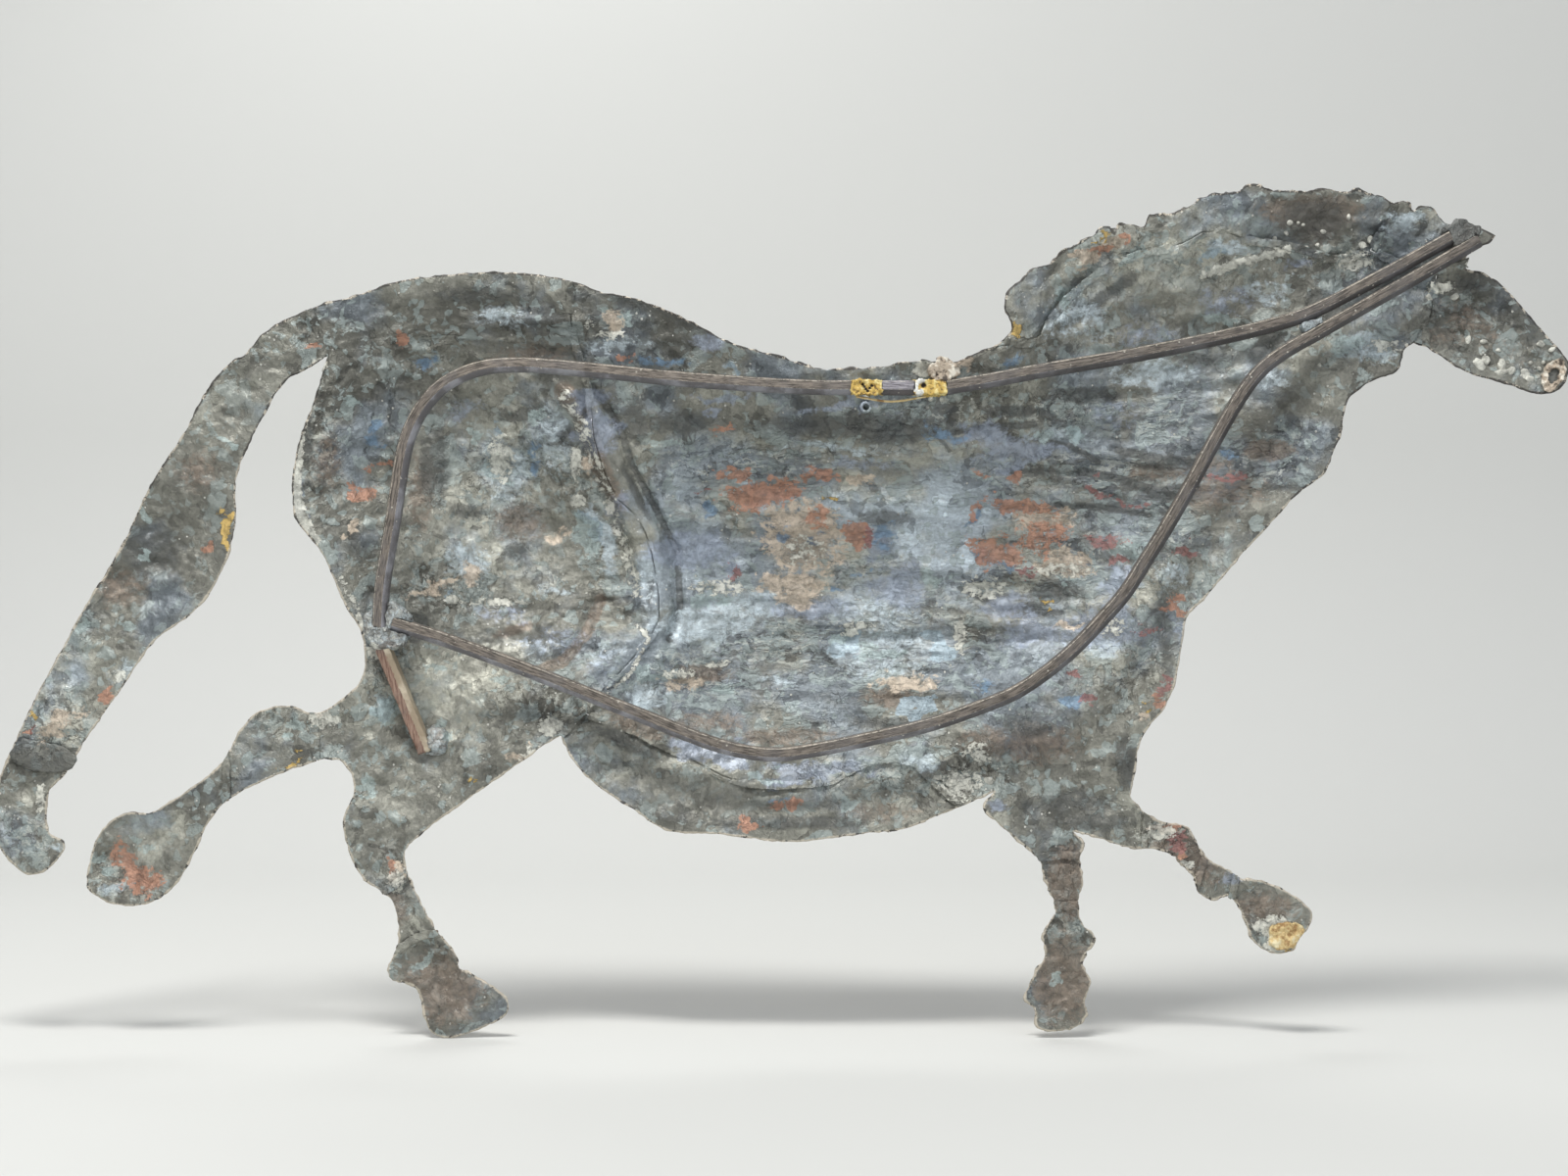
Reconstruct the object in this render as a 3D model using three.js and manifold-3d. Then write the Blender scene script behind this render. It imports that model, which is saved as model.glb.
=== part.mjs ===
// A wall sculpture of a trotting horse, torch-cut from bronze sheet and seen from behind.
// The sheets are hammered hollow, brazed edge to edge, and stiffened by a frame of square bar.
// Millimetres, +Z up. The wall is the plane y = 0, and the display side looks along -Y.
// The origin is the hanging place, on the rear face of the short bar spliced into the top bar.

import * as THREE from 'three';
import { mergeVertices } from 'three/addons/utils/BufferGeometryUtils.js';
import Module from 'manifold-3d';

const wasm = await Module();
wasm.setup();

// Driving sizes of the whole horse
const horseLength = 1067;
const horseHeight = 577;

// Sheet metal
const sheetThickness = 2;
const seamGap = 0.4;
const seatGap = 0.3;

// Square bar frame
const barSide = 9.5;
const wireDiameter = 2;

// Depth of the hammered relief, measured from the cut rim
const dishDepth = 40;
const dishReach = 150;
const barrelDepth = 20;
const haunchDepth = 14;
const shoulderDepth = 12;
const neckDepth = 8;
const cheekDepth = 11;
const muzzleDepth = 5;
const kneeDepth = 16;
const hoofDepth = 6;
const ridgeShare = 0.35;
const ridgeWidth = 20;
const swellDepth = 4;
const swellRun = 23;

// Braze beads, patches and small fittings
const beadWidth = 7;
const beadHeight = 1.8;
const patchThickness = 2;
const ringDiameter = 8;
const ringBore = 4.6;
const ringHeight = 5;

// Fineness of the facets, and the overrun of every cutting tool
const gridStep = 19;
const outlineStep = 10;
const seamStep = 15;
const barStep = 12;
const patchStep = 5;
const smoothingPasses = 2;
const curveSteps = 14;
const lumpSides = 14;
const lumpRings = 9;
const wireSides = 8;
const wireSteps = 16;
const overrun = 120;

// Places are shares of the horse's length and height, counted across from the tail
// and down from the mane, as the back of the horse is seen.
const lengthShares = 1615;
const heightShares = 874;
const hangPlaceShares = [916, 396];

// The cut outline, in stretches that start and end at its sharp corners
const backShares = [
  [280, 331], [320, 312], [358, 301], [410, 285], [470, 278], [520, 277], [580, 285],
  [615, 297], [650, 304], [700, 325], [745, 348], [800, 364], [835, 374], [885, 374],
  [945, 366], [965, 370], [1005, 356], [1020, 350],
];
const maneShares = [
  [1020, 350], [1033, 334], [1025, 313], [1042, 285], [1070, 268], [1098, 249], [1130, 231],
  [1138, 237], [1142, 228], [1168, 229], [1176, 217], [1200, 216], [1232, 198], [1262, 195],
  [1280, 187], [1320, 194], [1358, 191], [1375, 195], [1393, 195], [1426, 208], [1436, 203],
  [1444, 214], [1460, 209], [1473, 224], [1500, 231], [1526, 240],
];
const faceShares = [
  [1526, 240], [1520, 247], [1506, 254], [1497, 267], [1517, 277], [1535, 290], [1560, 318],
  [1585, 347], [1602, 370], [1600, 385], [1580, 401], [1563, 400], [1540, 391], [1500, 380],
  [1480, 368], [1460, 354], [1447, 348],
];
const chestShares = [
  [1447, 348], [1437, 355], [1427, 378], [1400, 389], [1377, 408], [1369, 443], [1352, 483],
  [1325, 504], [1300, 532], [1268, 566], [1230, 611], [1213, 629], [1208, 658], [1200, 697],
  [1190, 723], [1168, 750], [1159, 790], [1155, 813],
];
const raisedForelegShares = [
  [1155, 813], [1172, 832], [1188, 840], [1212, 843], [1220, 855], [1232, 876], [1258, 890],
  [1267, 897], [1290, 900], [1325, 917], [1340, 933], [1329, 957], [1318, 972], [1297, 973],
  [1280, 962], [1271, 940], [1257, 916], [1236, 919], [1222, 910], [1222, 898], [1208, 885],
  [1195, 872], [1175, 867], [1150, 866], [1118, 855], [1097, 850],
];
const standingForelegShares = [
  [1097, 850], [1106, 860], [1102, 877], [1106, 898], [1101, 925], [1105, 942], [1117, 955],
  [1113, 968], [1105, 982], [1114, 1003], [1108, 1024], [1110, 1035], [1100, 1049],
  [1067, 1053], [1057, 1047], [1057, 1033], [1046, 1020], [1056, 995], [1067, 975],
  [1064, 955], [1077, 928], [1070, 910], [1058, 876], [1037, 857], [1004, 824], [1015, 809],
];
const bellyShares = [
  [1015, 809], [993, 819], [965, 830], [925, 846], [870, 853], [805, 860], [735, 852],
  [680, 848], [645, 826], [600, 795], [579, 768], [572, 750],
];
const nearHindLegShares = [
  [572, 750], [540, 772], [490, 807], [433, 849], [413, 870], [417, 894], [426, 914],
  [445, 949], [466, 977], [468, 988], [482, 996], [495, 1003], [518, 1022], [517, 1035],
  [490, 1051], [455, 1060], [438, 1053], [424, 1010], [411, 1004], [397, 1001], [395, 988],
  [404, 968], [406, 955], [397, 918], [370, 897], [354, 865], [350, 835], [360, 805],
  [348, 778], [330, 775],
];
const farHindLegShares = [
  [330, 775], [295, 786], [240, 812], [217, 832], [196, 873], [177, 905], [150, 923],
  [115, 924], [89, 908], [88, 885], [100, 850], [125, 831], [150, 830], [190, 807],
  [225, 779], [243, 747], [262, 727], [293, 720], [320, 728], [350, 712], [368, 690],
  [368, 650], [350, 617], [325, 562], [301, 530], [297, 505], [303, 455], [318, 410],
  [333, 362],
];
const tailShares = [
  [333, 362], [310, 377], [290, 389], [262, 436], [243, 478], [239, 500], [240, 530],
  [228, 577], [200, 621], [155, 656], [125, 700], [90, 750], [65, 790], [49, 810], [50, 850],
  [66, 861], [50, 886], [28, 893], [0, 868], [-12, 835], [-3, 797], [17, 750], [50, 683],
  [80, 628], [125, 551], [150, 499], [185, 443], [212, 395], [238, 366], [247, 363],
  [262, 345], [280, 331],
];

// Seams between the sheets. Each runs out past the cut edge at its open ends.
const seams = [
  { bead: 'tail_root_braze', lineShares: [[318, 386], [327, 371], [331, 358], [320, 330], [308, 300]] },
  { bead: null, lineShares: [[-20, 757], [20, 770], [45, 775], [100, 790]] },
  {
    bead: 'haunch_bead',
    lineShares: [
      [583, 265], [582, 330], [600, 405], [602, 440], [625, 505], [650, 530], [668, 600],
      [668, 640], [650, 665], [600, 720], [572, 750], [560, 775],
    ],
  },
  {
    bead: 'belly_bead',
    lineShares: [
      [592, 728], [640, 745], [690, 770], [755, 800], [800, 803], [850, 798], [885, 780],
      [930, 778], [965, 810], [985, 824], [1000, 845],
    ],
  },
  { bead: 'far_hind_root_bead', lineShares: [[319, 705], [320, 745], [324, 795]] },
  { bead: 'far_hock_bead', lineShares: [[228, 755], [231, 790], [229, 835]] },
  { bead: 'near_cannon_bead', lineShares: [[368, 922], [398, 906], [418, 893], [438, 882]] },
  { bead: 'near_hoof_bead', lineShares: [[388, 975], [408, 968], [425, 957], [468, 950]] },
  {
    bead: 'mane_bead',
    lineShares: [
      [1003, 352], [1030, 347], [1062, 350], [1078, 318], [1130, 272], [1165, 258],
      [1200, 250], [1240, 232], [1270, 241], [1330, 250], [1370, 262], [1404, 252],
    ],
  },
  { bead: 'mane_lock_bead', lineShares: [[1404, 252], [1416, 228], [1432, 190]] },
  { bead: 'forelock_bead', lineShares: [[1404, 252], [1440, 268], [1472, 275], [1512, 262]] },
  { bead: 'head_bead', lineShares: [[1472, 271], [1470, 300], [1462, 330], [1442, 365]] },
  { bead: 'standing_knee_bead', lineShares: [[1040, 879], [1085, 873], [1125, 877]] },
  { bead: 'standing_shin_bead', lineShares: [[1058, 926], [1090, 924], [1122, 927]] },
  { bead: 'raised_shin_bead', lineShares: [[1173, 815], [1168, 885]] },
  { bead: 'raised_fetlock_bead', lineShares: [[1240, 860], [1208, 873], [1182, 884]] },
  { bead: 'raised_pastern_bead', lineShares: [[1236, 862], [1227, 886], [1218, 912]] },
  { bead: 'raised_hoof_bead', lineShares: [[1265, 880], [1256, 932]] },
];

// Each sheet is named by one place that lies on it
const sheetPieces = [
  { name: 'tail_panel', seedShares: [190, 500] },
  { name: 'tail_tip', seedShares: [20, 820] },
  { name: 'haunch_panel', seedShares: [480, 600] },
  { name: 'body_panel', seedShares: [850, 600] },
  { name: 'belly_panel', seedShares: [800, 832] },
  { name: 'far_hind_gaskin', seedShares: [275, 755] },
  { name: 'far_hind_cannon', seedShares: [150, 870] },
  { name: 'near_hind_cannon', seedShares: [415, 930] },
  { name: 'near_hind_hoof', seedShares: [460, 1020] },
  { name: 'mane_panel', seedShares: [1220, 225] },
  { name: 'forelock_piece', seedShares: [1450, 240] },
  { name: 'head_panel', seedShares: [1520, 330] },
  { name: 'standing_fore_shin', seedShares: [1085, 900] },
  { name: 'standing_fore_hoof', seedShares: [1085, 1010] },
  { name: 'raised_fore_shin', seedShares: [1190, 855] },
  { name: 'raised_fore_fetlock', seedShares: [1212, 884] },
  { name: 'raised_fore_pastern', seedShares: [1243, 900] },
  { name: 'raised_fore_hoof', seedShares: [1300, 935] },
];

// Swellings of the relief: where each lies, how far it reaches, and its depth
const swellings = [
  { atShares: [800, 590], reachShares: [320, 230], depth: barrelDepth },
  { atShares: [480, 560], reachShares: [170, 200], depth: haunchDepth },
  { atShares: [1090, 600], reachShares: [150, 210], depth: shoulderDepth },
  { atShares: [1210, 420], reachShares: [180, 130], depth: neckDepth },
  { atShares: [1455, 310], reachShares: [95, 80], depth: cheekDepth },
  { atShares: [1560, 365], reachShares: [55, 45], depth: muzzleDepth },
  { atShares: [1225, 885], reachShares: [120, 90], depth: kneeDepth },
  { atShares: [470, 1020], reachShares: [70, 60], depth: hoofDepth },
  { atShares: [120, 880], reachShares: [70, 60], depth: hoofDepth },
  { atShares: [1080, 1015], reachShares: [60, 60], depth: hoofDepth },
];

// Centre lines of the bars: a bent stretch, then straight runs
const rearBarBendShares = [
  [389, 640], [391, 603], [402, 535], [413, 465], [433, 420], [455, 395], [500, 374],
  [525, 371], [562, 374],
];
const rearBarRunShares = [[644, 382.5], [713, 389], [782, 393.5], [837, 396], [868, 396]];
const spliceBarShares = [[900, 396], [932, 396]];
const frontBarRunShares = [[965, 396], [1050, 381], [1150, 364], [1250, 344], [1300, 332]];
const frontBarBendShares = [[1322, 326], [1345, 317], [1400, 287]];
const frontBarEndShares = [1478, 244];
const lowerBarRearShares = [[402, 636], [453, 652], [555, 690], [657, 731], [736, 761]];
const lowerBarBendShares = [
  [768, 768], [797, 769], [837, 764], [894, 752], [952, 738], [998, 722], [1036, 706],
  [1065, 687], [1093, 664], [1122, 634], [1147, 605], [1168, 572], [1190, 537],
  [1215, 493], [1237, 452], [1257, 417], [1275, 390], [1290, 375], [1310, 360],
  [1340, 342],
];
const lowerBarEndShares = [1506, 247];
const stubBarShares = [[391, 659], [431, 768]];
const stubTopShare = 0.8;
const stubTurn = 25;

// Lumps of weld metal, with radii in sides of the bar along the length, the depth and the height.
// A lump lies on the sheet, or closes over the bars in front, or only fills in beside them.
const weldLumps = [
  { name: 'hip_weld', atShares: [398, 639], radiusShares: [1.75, 1.5, 1.7], lies: 'over bars' },
  { name: 'stub_foot_weld', atShares: [441, 758], radiusShares: [0.95, 0.9, 1.1], lies: 'on sheet' },
  { name: 'neck_weld', atShares: [1336, 331], radiusShares: [0.8, 0.9, 1.1], lies: 'over bars' },
  { name: 'head_weld', atShares: [1488, 240], radiusShares: [1.3, 1.1, 1], lies: 'beside bars' },
  { name: 'withers_weld', atShares: [962, 380], radiusShares: [1, 1.6, 0.8], lies: 'over bars' },
];
const lumpRippleShare = 0.07;
const lumpLobes = 5;

// Brass filled in between the bar ends: shares of the gap's length and of the bar's half side
const brazeEdgeShares = [
  [0, 0.9], [0.25, 1.08], [0.5, 0.92], [0.75, 1.08], [1, 0.9],
  [1, -0.9], [0.7, -0.98], [0.45, -1], [0.2, -0.98], [0, -0.9],
];

// Patches lapped over the sheets
const tailPatchShares = [
  [22, 753], [45, 757], [68, 764], [80, 775], [70, 786], [45, 789], [20, 783], [8, 770],
];
const hoofPatchShares = [
  [1298, 944], [1318, 941], [1331, 946], [1326, 960], [1314, 969], [1300, 968], [1294, 957],
];
const muzzleRing = { atShares: [1586, 383], outerShares: [13, 14], innerShares: [6, 7] };
const sheetRingShares = [884, 414];

// The brazing wire left under the splice, from one brass fill to the other
const wireSagShare = 0.35;
const wireSpanShares = [873, 945];

// Materials, one for each kind of surface
const sheetMetal = new THREE.MeshStandardMaterial({ color: 0x6d7674, roughness: 0.55, metalness: 0.7 });
const barMetal = new THREE.MeshStandardMaterial({ color: 0x7b6f66, roughness: 0.5, metalness: 0.75 });
const brassFill = new THREE.MeshStandardMaterial({ color: 0xb79a55, roughness: 0.45, metalness: 0.85 });
const beadMetal = new THREE.MeshStandardMaterial({ color: 0x8b8778, roughness: 0.6, metalness: 0.7 });
const patchMetal = new THREE.MeshStandardMaterial({ color: 0x4f5352, roughness: 0.6, metalness: 0.65 });

// A place on the horse, as x and z in millimetres
function place([across, down]) {
  const x = (hangPlaceShares[0] - across) / lengthShares * horseLength;
  const z = (hangPlaceShares[1] - down) / heightShares * horseHeight;
  return new THREE.Vector2(x, z);
}

function reach([across, down]) {
  return new THREE.Vector2(across / lengthShares * horseLength, down / heightShares * horseHeight);
}

// Points at an even step along a smooth curve through the given places
function curveThrough(shares, step) {
  const knots = shares.map(place).map((spot) => new THREE.Vector3(spot.x, 0, spot.y));
  const curve = new THREE.CatmullRomCurve3(knots, false, 'centripetal');
  curve.arcLengthDivisions = knots.length * curveSteps;
  const count = Math.max(1, Math.round(curve.getLength() / step));
  return curve.getSpacedPoints(count).map((point) => new THREE.Vector2(point.x, point.z));
}

// Solids to and from closed geometry
function toSolid(geometry) {
  geometry.deleteAttribute('normal');
  geometry.deleteAttribute('uv');
  const merged = mergeVertices(geometry);
  const mesh = new wasm.Mesh({
    numProp: 3,
    vertProperties: new Float32Array(merged.attributes.position.array),
    triVerts: new Uint32Array(merged.index.array),
  });
  return new wasm.Manifold(mesh);
}

function toGeometry(solid) {
  const mesh = solid.getMesh();
  const geometry = new THREE.BufferGeometry();
  geometry.setAttribute('position', new THREE.BufferAttribute(mesh.vertProperties, 3));
  geometry.setIndex(new THREE.BufferAttribute(mesh.triVerts, 1));
  geometry.computeVertexNormals();
  return geometry;
}

// An outline in x and z, pushed from the plane y = rear towards the display side
function prism(outline, depth, rear, holes = []) {
  const shape = new THREE.Shape(outline);
  shape.holes = holes.map((hole) => new THREE.Path(hole));
  const geometry = new THREE.ExtrudeGeometry(shape, { depth, bevelEnabled: false });
  geometry.rotateX(Math.PI / 2);
  geometry.translate(0, rear, 0);
  return toSolid(geometry);
}

// A tool that cuts right through the sculpture
function cutter(outline, holes) {
  return prism(outline, 2 * overrun, overrun, holes);
}

// The outline of a strip of even width along a line of points, mitred at its corners
function strip(line, width) {
  const runs = line.slice(1).map((spot, index) => spot.clone().sub(line[index]).normalize());
  const edges = [1, -1].map((side) => line.map((spot, index) => {
    const arriving = runs[Math.max(index - 1, 0)];
    const leaving = runs[Math.min(index, runs.length - 1)];
    const along = arriving.clone().add(leaving).normalize();
    const mitre = side * width / 2 / along.dot(leaving);
    return spot.clone().add(new THREE.Vector2(-along.y, along.x).multiplyScalar(mitre));
  }));
  return [...edges[0], ...edges[1].reverse()];
}

function largest(solid) {
  return solid.decompose().sort((one, other) => other.volume() - one.volume())[0];
}

// The whole cut outline of the horse
const outline = [
  backShares, maneShares, faceShares, chestShares, raisedForelegShares, standingForelegShares,
  bellyShares, nearHindLegShares, farHindLegShares, tailShares,
].flatMap((stretch) => curveThrough(stretch, outlineStep).slice(0, -1));
const silhouette = cutter(outline);

// The least distance from a spot to a line of points
function gapTo(line, spot, closed) {
  const ends = closed ? [...line.slice(1), line[0]] : line.slice(1);
  let least = Infinity;
  ends.forEach((end, index) => {
    const start = line[index];
    const run = end.clone().sub(start);
    const share = THREE.MathUtils.clamp(spot.clone().sub(start).dot(run) / run.lengthSq(), 0, 1);
    least = Math.min(least, start.clone().addScaledVector(run, share).distanceTo(spot));
  });
  return least;
}

function isInside(spot) {
  let inside = false;
  outline.forEach((end, index) => {
    const start = outline[(index + outline.length - 1) % outline.length];
    const crosses = (start.y > spot.y) !== (end.y > spot.y);
    if (crosses && spot.x < start.x + (spot.y - start.y) / (end.y - start.y) * (end.x - start.x)) {
      inside = !inside;
    }
  });
  return inside;
}

// Depth of the hollow at a spot: it deepens away from the cut edge, swells over the barrel,
// the haunch and the other muscles, and keeps a ridge where the haunch meets the barrel
const haunchSeam = seams.find((seam) => seam.bead === 'haunch_bead').lineShares.map(place);
function hollowAt(spot) {
  if (!isInside(spot)) {
    return 0;
  }
  const share = Math.min(gapTo(outline, spot, true) / dishReach, 1);
  let depth = dishDepth * Math.sin(share * Math.PI / 2);
  swellings.forEach((swelling) => {
    const away = spot.clone().sub(place(swelling.atShares)).divide(reach(swelling.reachShares));
    depth += swelling.depth * Math.max(0, 1 - away.lengthSq()) ** 2;
  });
  const fromRidge = gapTo(haunchSeam, spot, false) / ridgeWidth;
  depth *= 1 - ridgeShare * Math.exp(-fromRidge * fromRidge);
  const wave = 1 + Math.sin(spot.x / swellRun) * Math.cos(spot.y / swellRun);
  return depth + swellDepth * share * wave;
}

// The relief on a square grid, evened out by a few passes of averaging
const frame = new THREE.Box2().setFromPoints(outline).expandByScalar(gridStep);
const columns = Math.ceil((frame.max.x - frame.min.x) / gridStep);
const rows = Math.ceil((frame.max.y - frame.min.y) / gridStep);

function gridSpot(column, row) {
  return new THREE.Vector2(frame.min.x + column * gridStep, frame.min.y + row * gridStep);
}

let hollows = [];
for (let row = 0; row <= rows; row += 1) {
  for (let column = 0; column <= columns; column += 1) {
    hollows.push(hollowAt(gridSpot(column, row)));
  }
}

function hollowOf(column, row) {
  const nearColumn = THREE.MathUtils.clamp(column, 0, columns);
  const nearRow = THREE.MathUtils.clamp(row, 0, rows);
  return hollows[nearRow * (columns + 1) + nearColumn];
}

for (let pass = 0; pass < smoothingPasses; pass += 1) {
  hollows = hollows.map((hollow, index) => {
    const column = index % (columns + 1);
    const row = Math.floor(index / (columns + 1));
    const sides = hollowOf(column - 1, row) + hollowOf(column + 1, row)
      + hollowOf(column, row - 1) + hollowOf(column, row + 1);
    return (hollow + sides / 4) / 2;
  });
}

// The sheet's rear face. At the rim it lies one seat gap in front of the bars.
const rimLevel = -(barSide + seatGap);
function skinOf(column, row) {
  return rimLevel - hollowOf(column, row);
}

function skinAt(spot) {
  const across = (spot.x - frame.min.x) / gridStep;
  const up = (spot.y - frame.min.y) / gridStep;
  const column = Math.floor(across);
  const row = Math.floor(up);
  const low = THREE.MathUtils.lerp(skinOf(column, row), skinOf(column + 1, row), across - column);
  const high = THREE.MathUtils.lerp(skinOf(column, row + 1), skinOf(column + 1, row + 1), across - column);
  return THREE.MathUtils.lerp(low, high, up - row);
}

// A closed layer over the whole grid, between two faces given as functions of the grid place
function layer(frontOf, rearOf) {
  const positions = [];
  const indices = [];
  [frontOf, rearOf].forEach((faceOf) => {
    for (let row = 0; row <= rows; row += 1) {
      for (let column = 0; column <= columns; column += 1) {
        const spot = gridSpot(column, row);
        positions.push(spot.x, faceOf(column, row), spot.y);
      }
    }
  });
  const rearStart = (columns + 1) * (rows + 1);
  const corner = (column, row) => row * (columns + 1) + column;
  for (let row = 0; row < rows; row += 1) {
    for (let column = 0; column < columns; column += 1) {
      const a = corner(column, row);
      const b = corner(column + 1, row);
      const c = corner(column + 1, row + 1);
      const d = corner(column, row + 1);
      indices.push(a, b, c, a, c, d);
      indices.push(rearStart + a, rearStart + c, rearStart + b);
      indices.push(rearStart + a, rearStart + d, rearStart + c);
    }
  }
  const border = [];
  for (let column = 0; column < columns; column += 1) {
    border.push(corner(column, 0));
  }
  for (let row = 0; row < rows; row += 1) {
    border.push(corner(columns, row));
  }
  for (let column = columns; column > 0; column -= 1) {
    border.push(corner(column, rows));
  }
  for (let row = rows; row > 0; row -= 1) {
    border.push(corner(0, row));
  }
  border.forEach((start, index) => {
    const end = border[(index + 1) % border.length];
    indices.push(start, rearStart + end, end, start, rearStart + start, rearStart + end);
  });
  const geometry = new THREE.BufferGeometry();
  geometry.setAttribute('position', new THREE.Float32BufferAttribute(positions, 3));
  geometry.setIndex(indices);
  return toSolid(geometry);
}

const sheetLayer = layer((column, row) => skinOf(column, row) - sheetThickness, skinOf);
const beadLayer = layer(
  (column, row) => skinOf(column, row) + seatGap,
  (column, row) => skinOf(column, row) + seatGap + beadHeight,
);
const patchLayer = layer(
  (column, row) => skinOf(column, row) + seatGap,
  (column, row) => skinOf(column, row) + seatGap + patchThickness,
);
const hollowSpace = layer((column, row) => skinOf(column, row) + seatGap, () => 0);

const horse = new THREE.Group();
function add(name, solid, material) {
  const mesh = new THREE.Mesh(toGeometry(solid), material);
  mesh.name = name;
  horse.add(mesh);
  return solid;
}

// Sheets: the whole horse is cut from the layer, then sawn apart along the seams
const wholeSheet = sheetLayer.intersect(silhouette);
const kerfs = seams.map((seam) => cutter(strip(curveThrough(seam.lineShares, seamStep), seamGap)));
const sheets = kerfs.reduce((rest, kerf) => rest.subtract(kerf), wholeSheet).decompose();
sheetPieces.forEach(({ name, seedShares }) => {
  const seed = place(seedShares);
  const needle = cutter(strip([seed, seed.clone().addScalar(seamGap)], seamGap));
  const sheet = sheets.find((candidate) => candidate.intersect(needle).volume() > 0);
  add(name, sheet, sheetMetal);
});

// Braze beads over the seams. Where two meet, the later one stops short of the earlier.
const laid = [];
seams.filter((seam) => seam.bead).forEach((seam) => {
  const line = curveThrough(seam.lineShares, seamStep);
  const whole = beadLayer.intersect(silhouette).intersect(cutter(strip(line, beadWidth)));
  const bead = laid.reduce((rest, earlier) => rest.subtract(earlier), whole);
  add(seam.bead, largest(bead), beadMetal);
  laid.push(cutter(strip(line, beadWidth + 2 * seamGap)));
});

// Patches lapped over the tail joint and the raised hoof
[['tail_patch', tailPatchShares, patchMetal], ['hoof_patch', hoofPatchShares, brassFill]]
  .forEach(([name, shares, material]) => {
    const edge = curveThrough([...shares, shares[0]], patchStep).slice(0, -1);
    add(name, largest(patchLayer.intersect(cutter(edge))), material);
  });

// The crusted ring at the muzzle
function muzzleEllipse(radiusShares) {
  const centre = place(muzzleRing.atShares);
  const radii = reach(radiusShares);
  const curve = new THREE.EllipseCurve(centre.x, centre.y, radii.x, radii.y);
  return curve.getPoints(curveSteps).slice(0, -1);
}
const muzzleTool = cutter(muzzleEllipse(muzzleRing.outerShares), [muzzleEllipse(muzzleRing.innerShares)]);
add('muzzle_rim', largest(patchLayer.intersect(silhouette).intersect(muzzleTool)), beadMetal);

// A bar: the strip along its centre line, one bar side deep, with its rear face on the wall
const rearBarLine = [
  ...curveThrough(rearBarBendShares, barStep), ...rearBarRunShares.map(place),
];
const spliceBarLine = spliceBarShares.map(place);
const frontBarLine = [
  ...frontBarRunShares.map(place), ...curveThrough(frontBarBendShares, barStep),
  place(frontBarEndShares),
];
const lowerBarLine = [
  ...lowerBarRearShares.map(place), ...curveThrough(lowerBarBendShares, barStep),
  place(lowerBarEndShares),
];

function bar(line, grow) {
  const side = barSide + 2 * grow;
  return prism(strip(line, side), side, grow);
}

add('top_bar_rear', bar(rearBarLine, 0), barMetal);
add('splice_bar', bar(spliceBarLine, 0), barMetal);
add('top_bar_front', bar(frontBarLine, 0), barMetal);
add('lower_bar', bar(lowerBarLine, 0), barMetal);

// The stub bar slants from the hip down into the hollow, and its foot is cut to the sheet
const stubTop = place(stubBarShares[0]);
const stubFoot = place(stubBarShares[1]);
const stubFrom = new THREE.Vector3(stubTop.x, -barSide * stubTopShare, stubTop.y);
const stubTo = new THREE.Vector3(stubFoot.x, skinAt(stubFoot), stubFoot.y);

function stubBar(grow) {
  const side = barSide + 2 * grow;
  const run = stubTo.clone().sub(stubFrom);
  const geometry = new THREE.BoxGeometry(side, run.length() + 2 * grow, side);
  geometry.rotateY(THREE.MathUtils.degToRad(stubTurn));
  const turn = new THREE.Quaternion().setFromUnitVectors(new THREE.Vector3(0, 1, 0), run.normalize());
  geometry.applyQuaternion(turn);
  const middle = stubFrom.clone().lerp(stubTo, 1 / 2);
  geometry.translate(middle.x, middle.y, middle.z);
  return toSolid(geometry);
}
add('stub_bar', largest(stubBar(0).intersect(hollowSpace)), barMetal);

// Brass fills between the bar ends
const rearBarEnd = rearBarLine[rearBarLine.length - 1];
const barLines = [rearBarLine, spliceBarLine, frontBarLine, lowerBarLine];
const barRoom = barLines.reduce((room, line) => room.add(bar(line, seatGap)), stubBar(seatGap));
const besideRoom = barLines
  .map((line) => cutter(strip(line, barSide + 2 * seatGap)))
  .reduce((room, tool) => room.add(tool));

function brazeFill(from, to, grow) {
  const edge = brazeEdgeShares.map(([along, up]) => {
    const spot = from.clone().lerp(to, along);
    return new THREE.Vector2(spot.x, spot.y + up * (barSide / 2 + grow));
  });
  return prism(edge, barSide + 2 * grow, grow);
}
const splices = [
  { name: 'splice_braze_rear', from: rearBarEnd, to: spliceBarLine[0] },
  { name: 'splice_braze_front', from: spliceBarLine[1], to: frontBarLine[0] },
];
splices.forEach(({ name, from, to }) => {
  add(name, largest(brazeFill(from, to, 0).subtract(barRoom)), brassFill);
});
const brazeRoom = splices.reduce((room, { from, to }) => room.add(brazeFill(from, to, seatGap)), barRoom);

// Weld lumps, shaped round the bars and against the sheet
function lump(middle, radii) {
  const geometry = new THREE.SphereGeometry(1, lumpSides, lumpRings);
  const points = geometry.attributes.position;
  const point = new THREE.Vector3();
  for (let index = 0; index < points.count; index += 1) {
    point.fromBufferAttribute(points, index);
    const ripple = Math.sin(Math.atan2(point.z, point.x) * lumpLobes) * (1 - point.y * point.y);
    point.multiplyScalar(1 + lumpRippleShare * ripple);
    points.setXYZ(index, point.x, point.y, point.z);
  }
  geometry.scale(radii.x, radii.y, radii.z);
  geometry.translate(middle.x, middle.y, middle.z);
  return toSolid(geometry);
}

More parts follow.
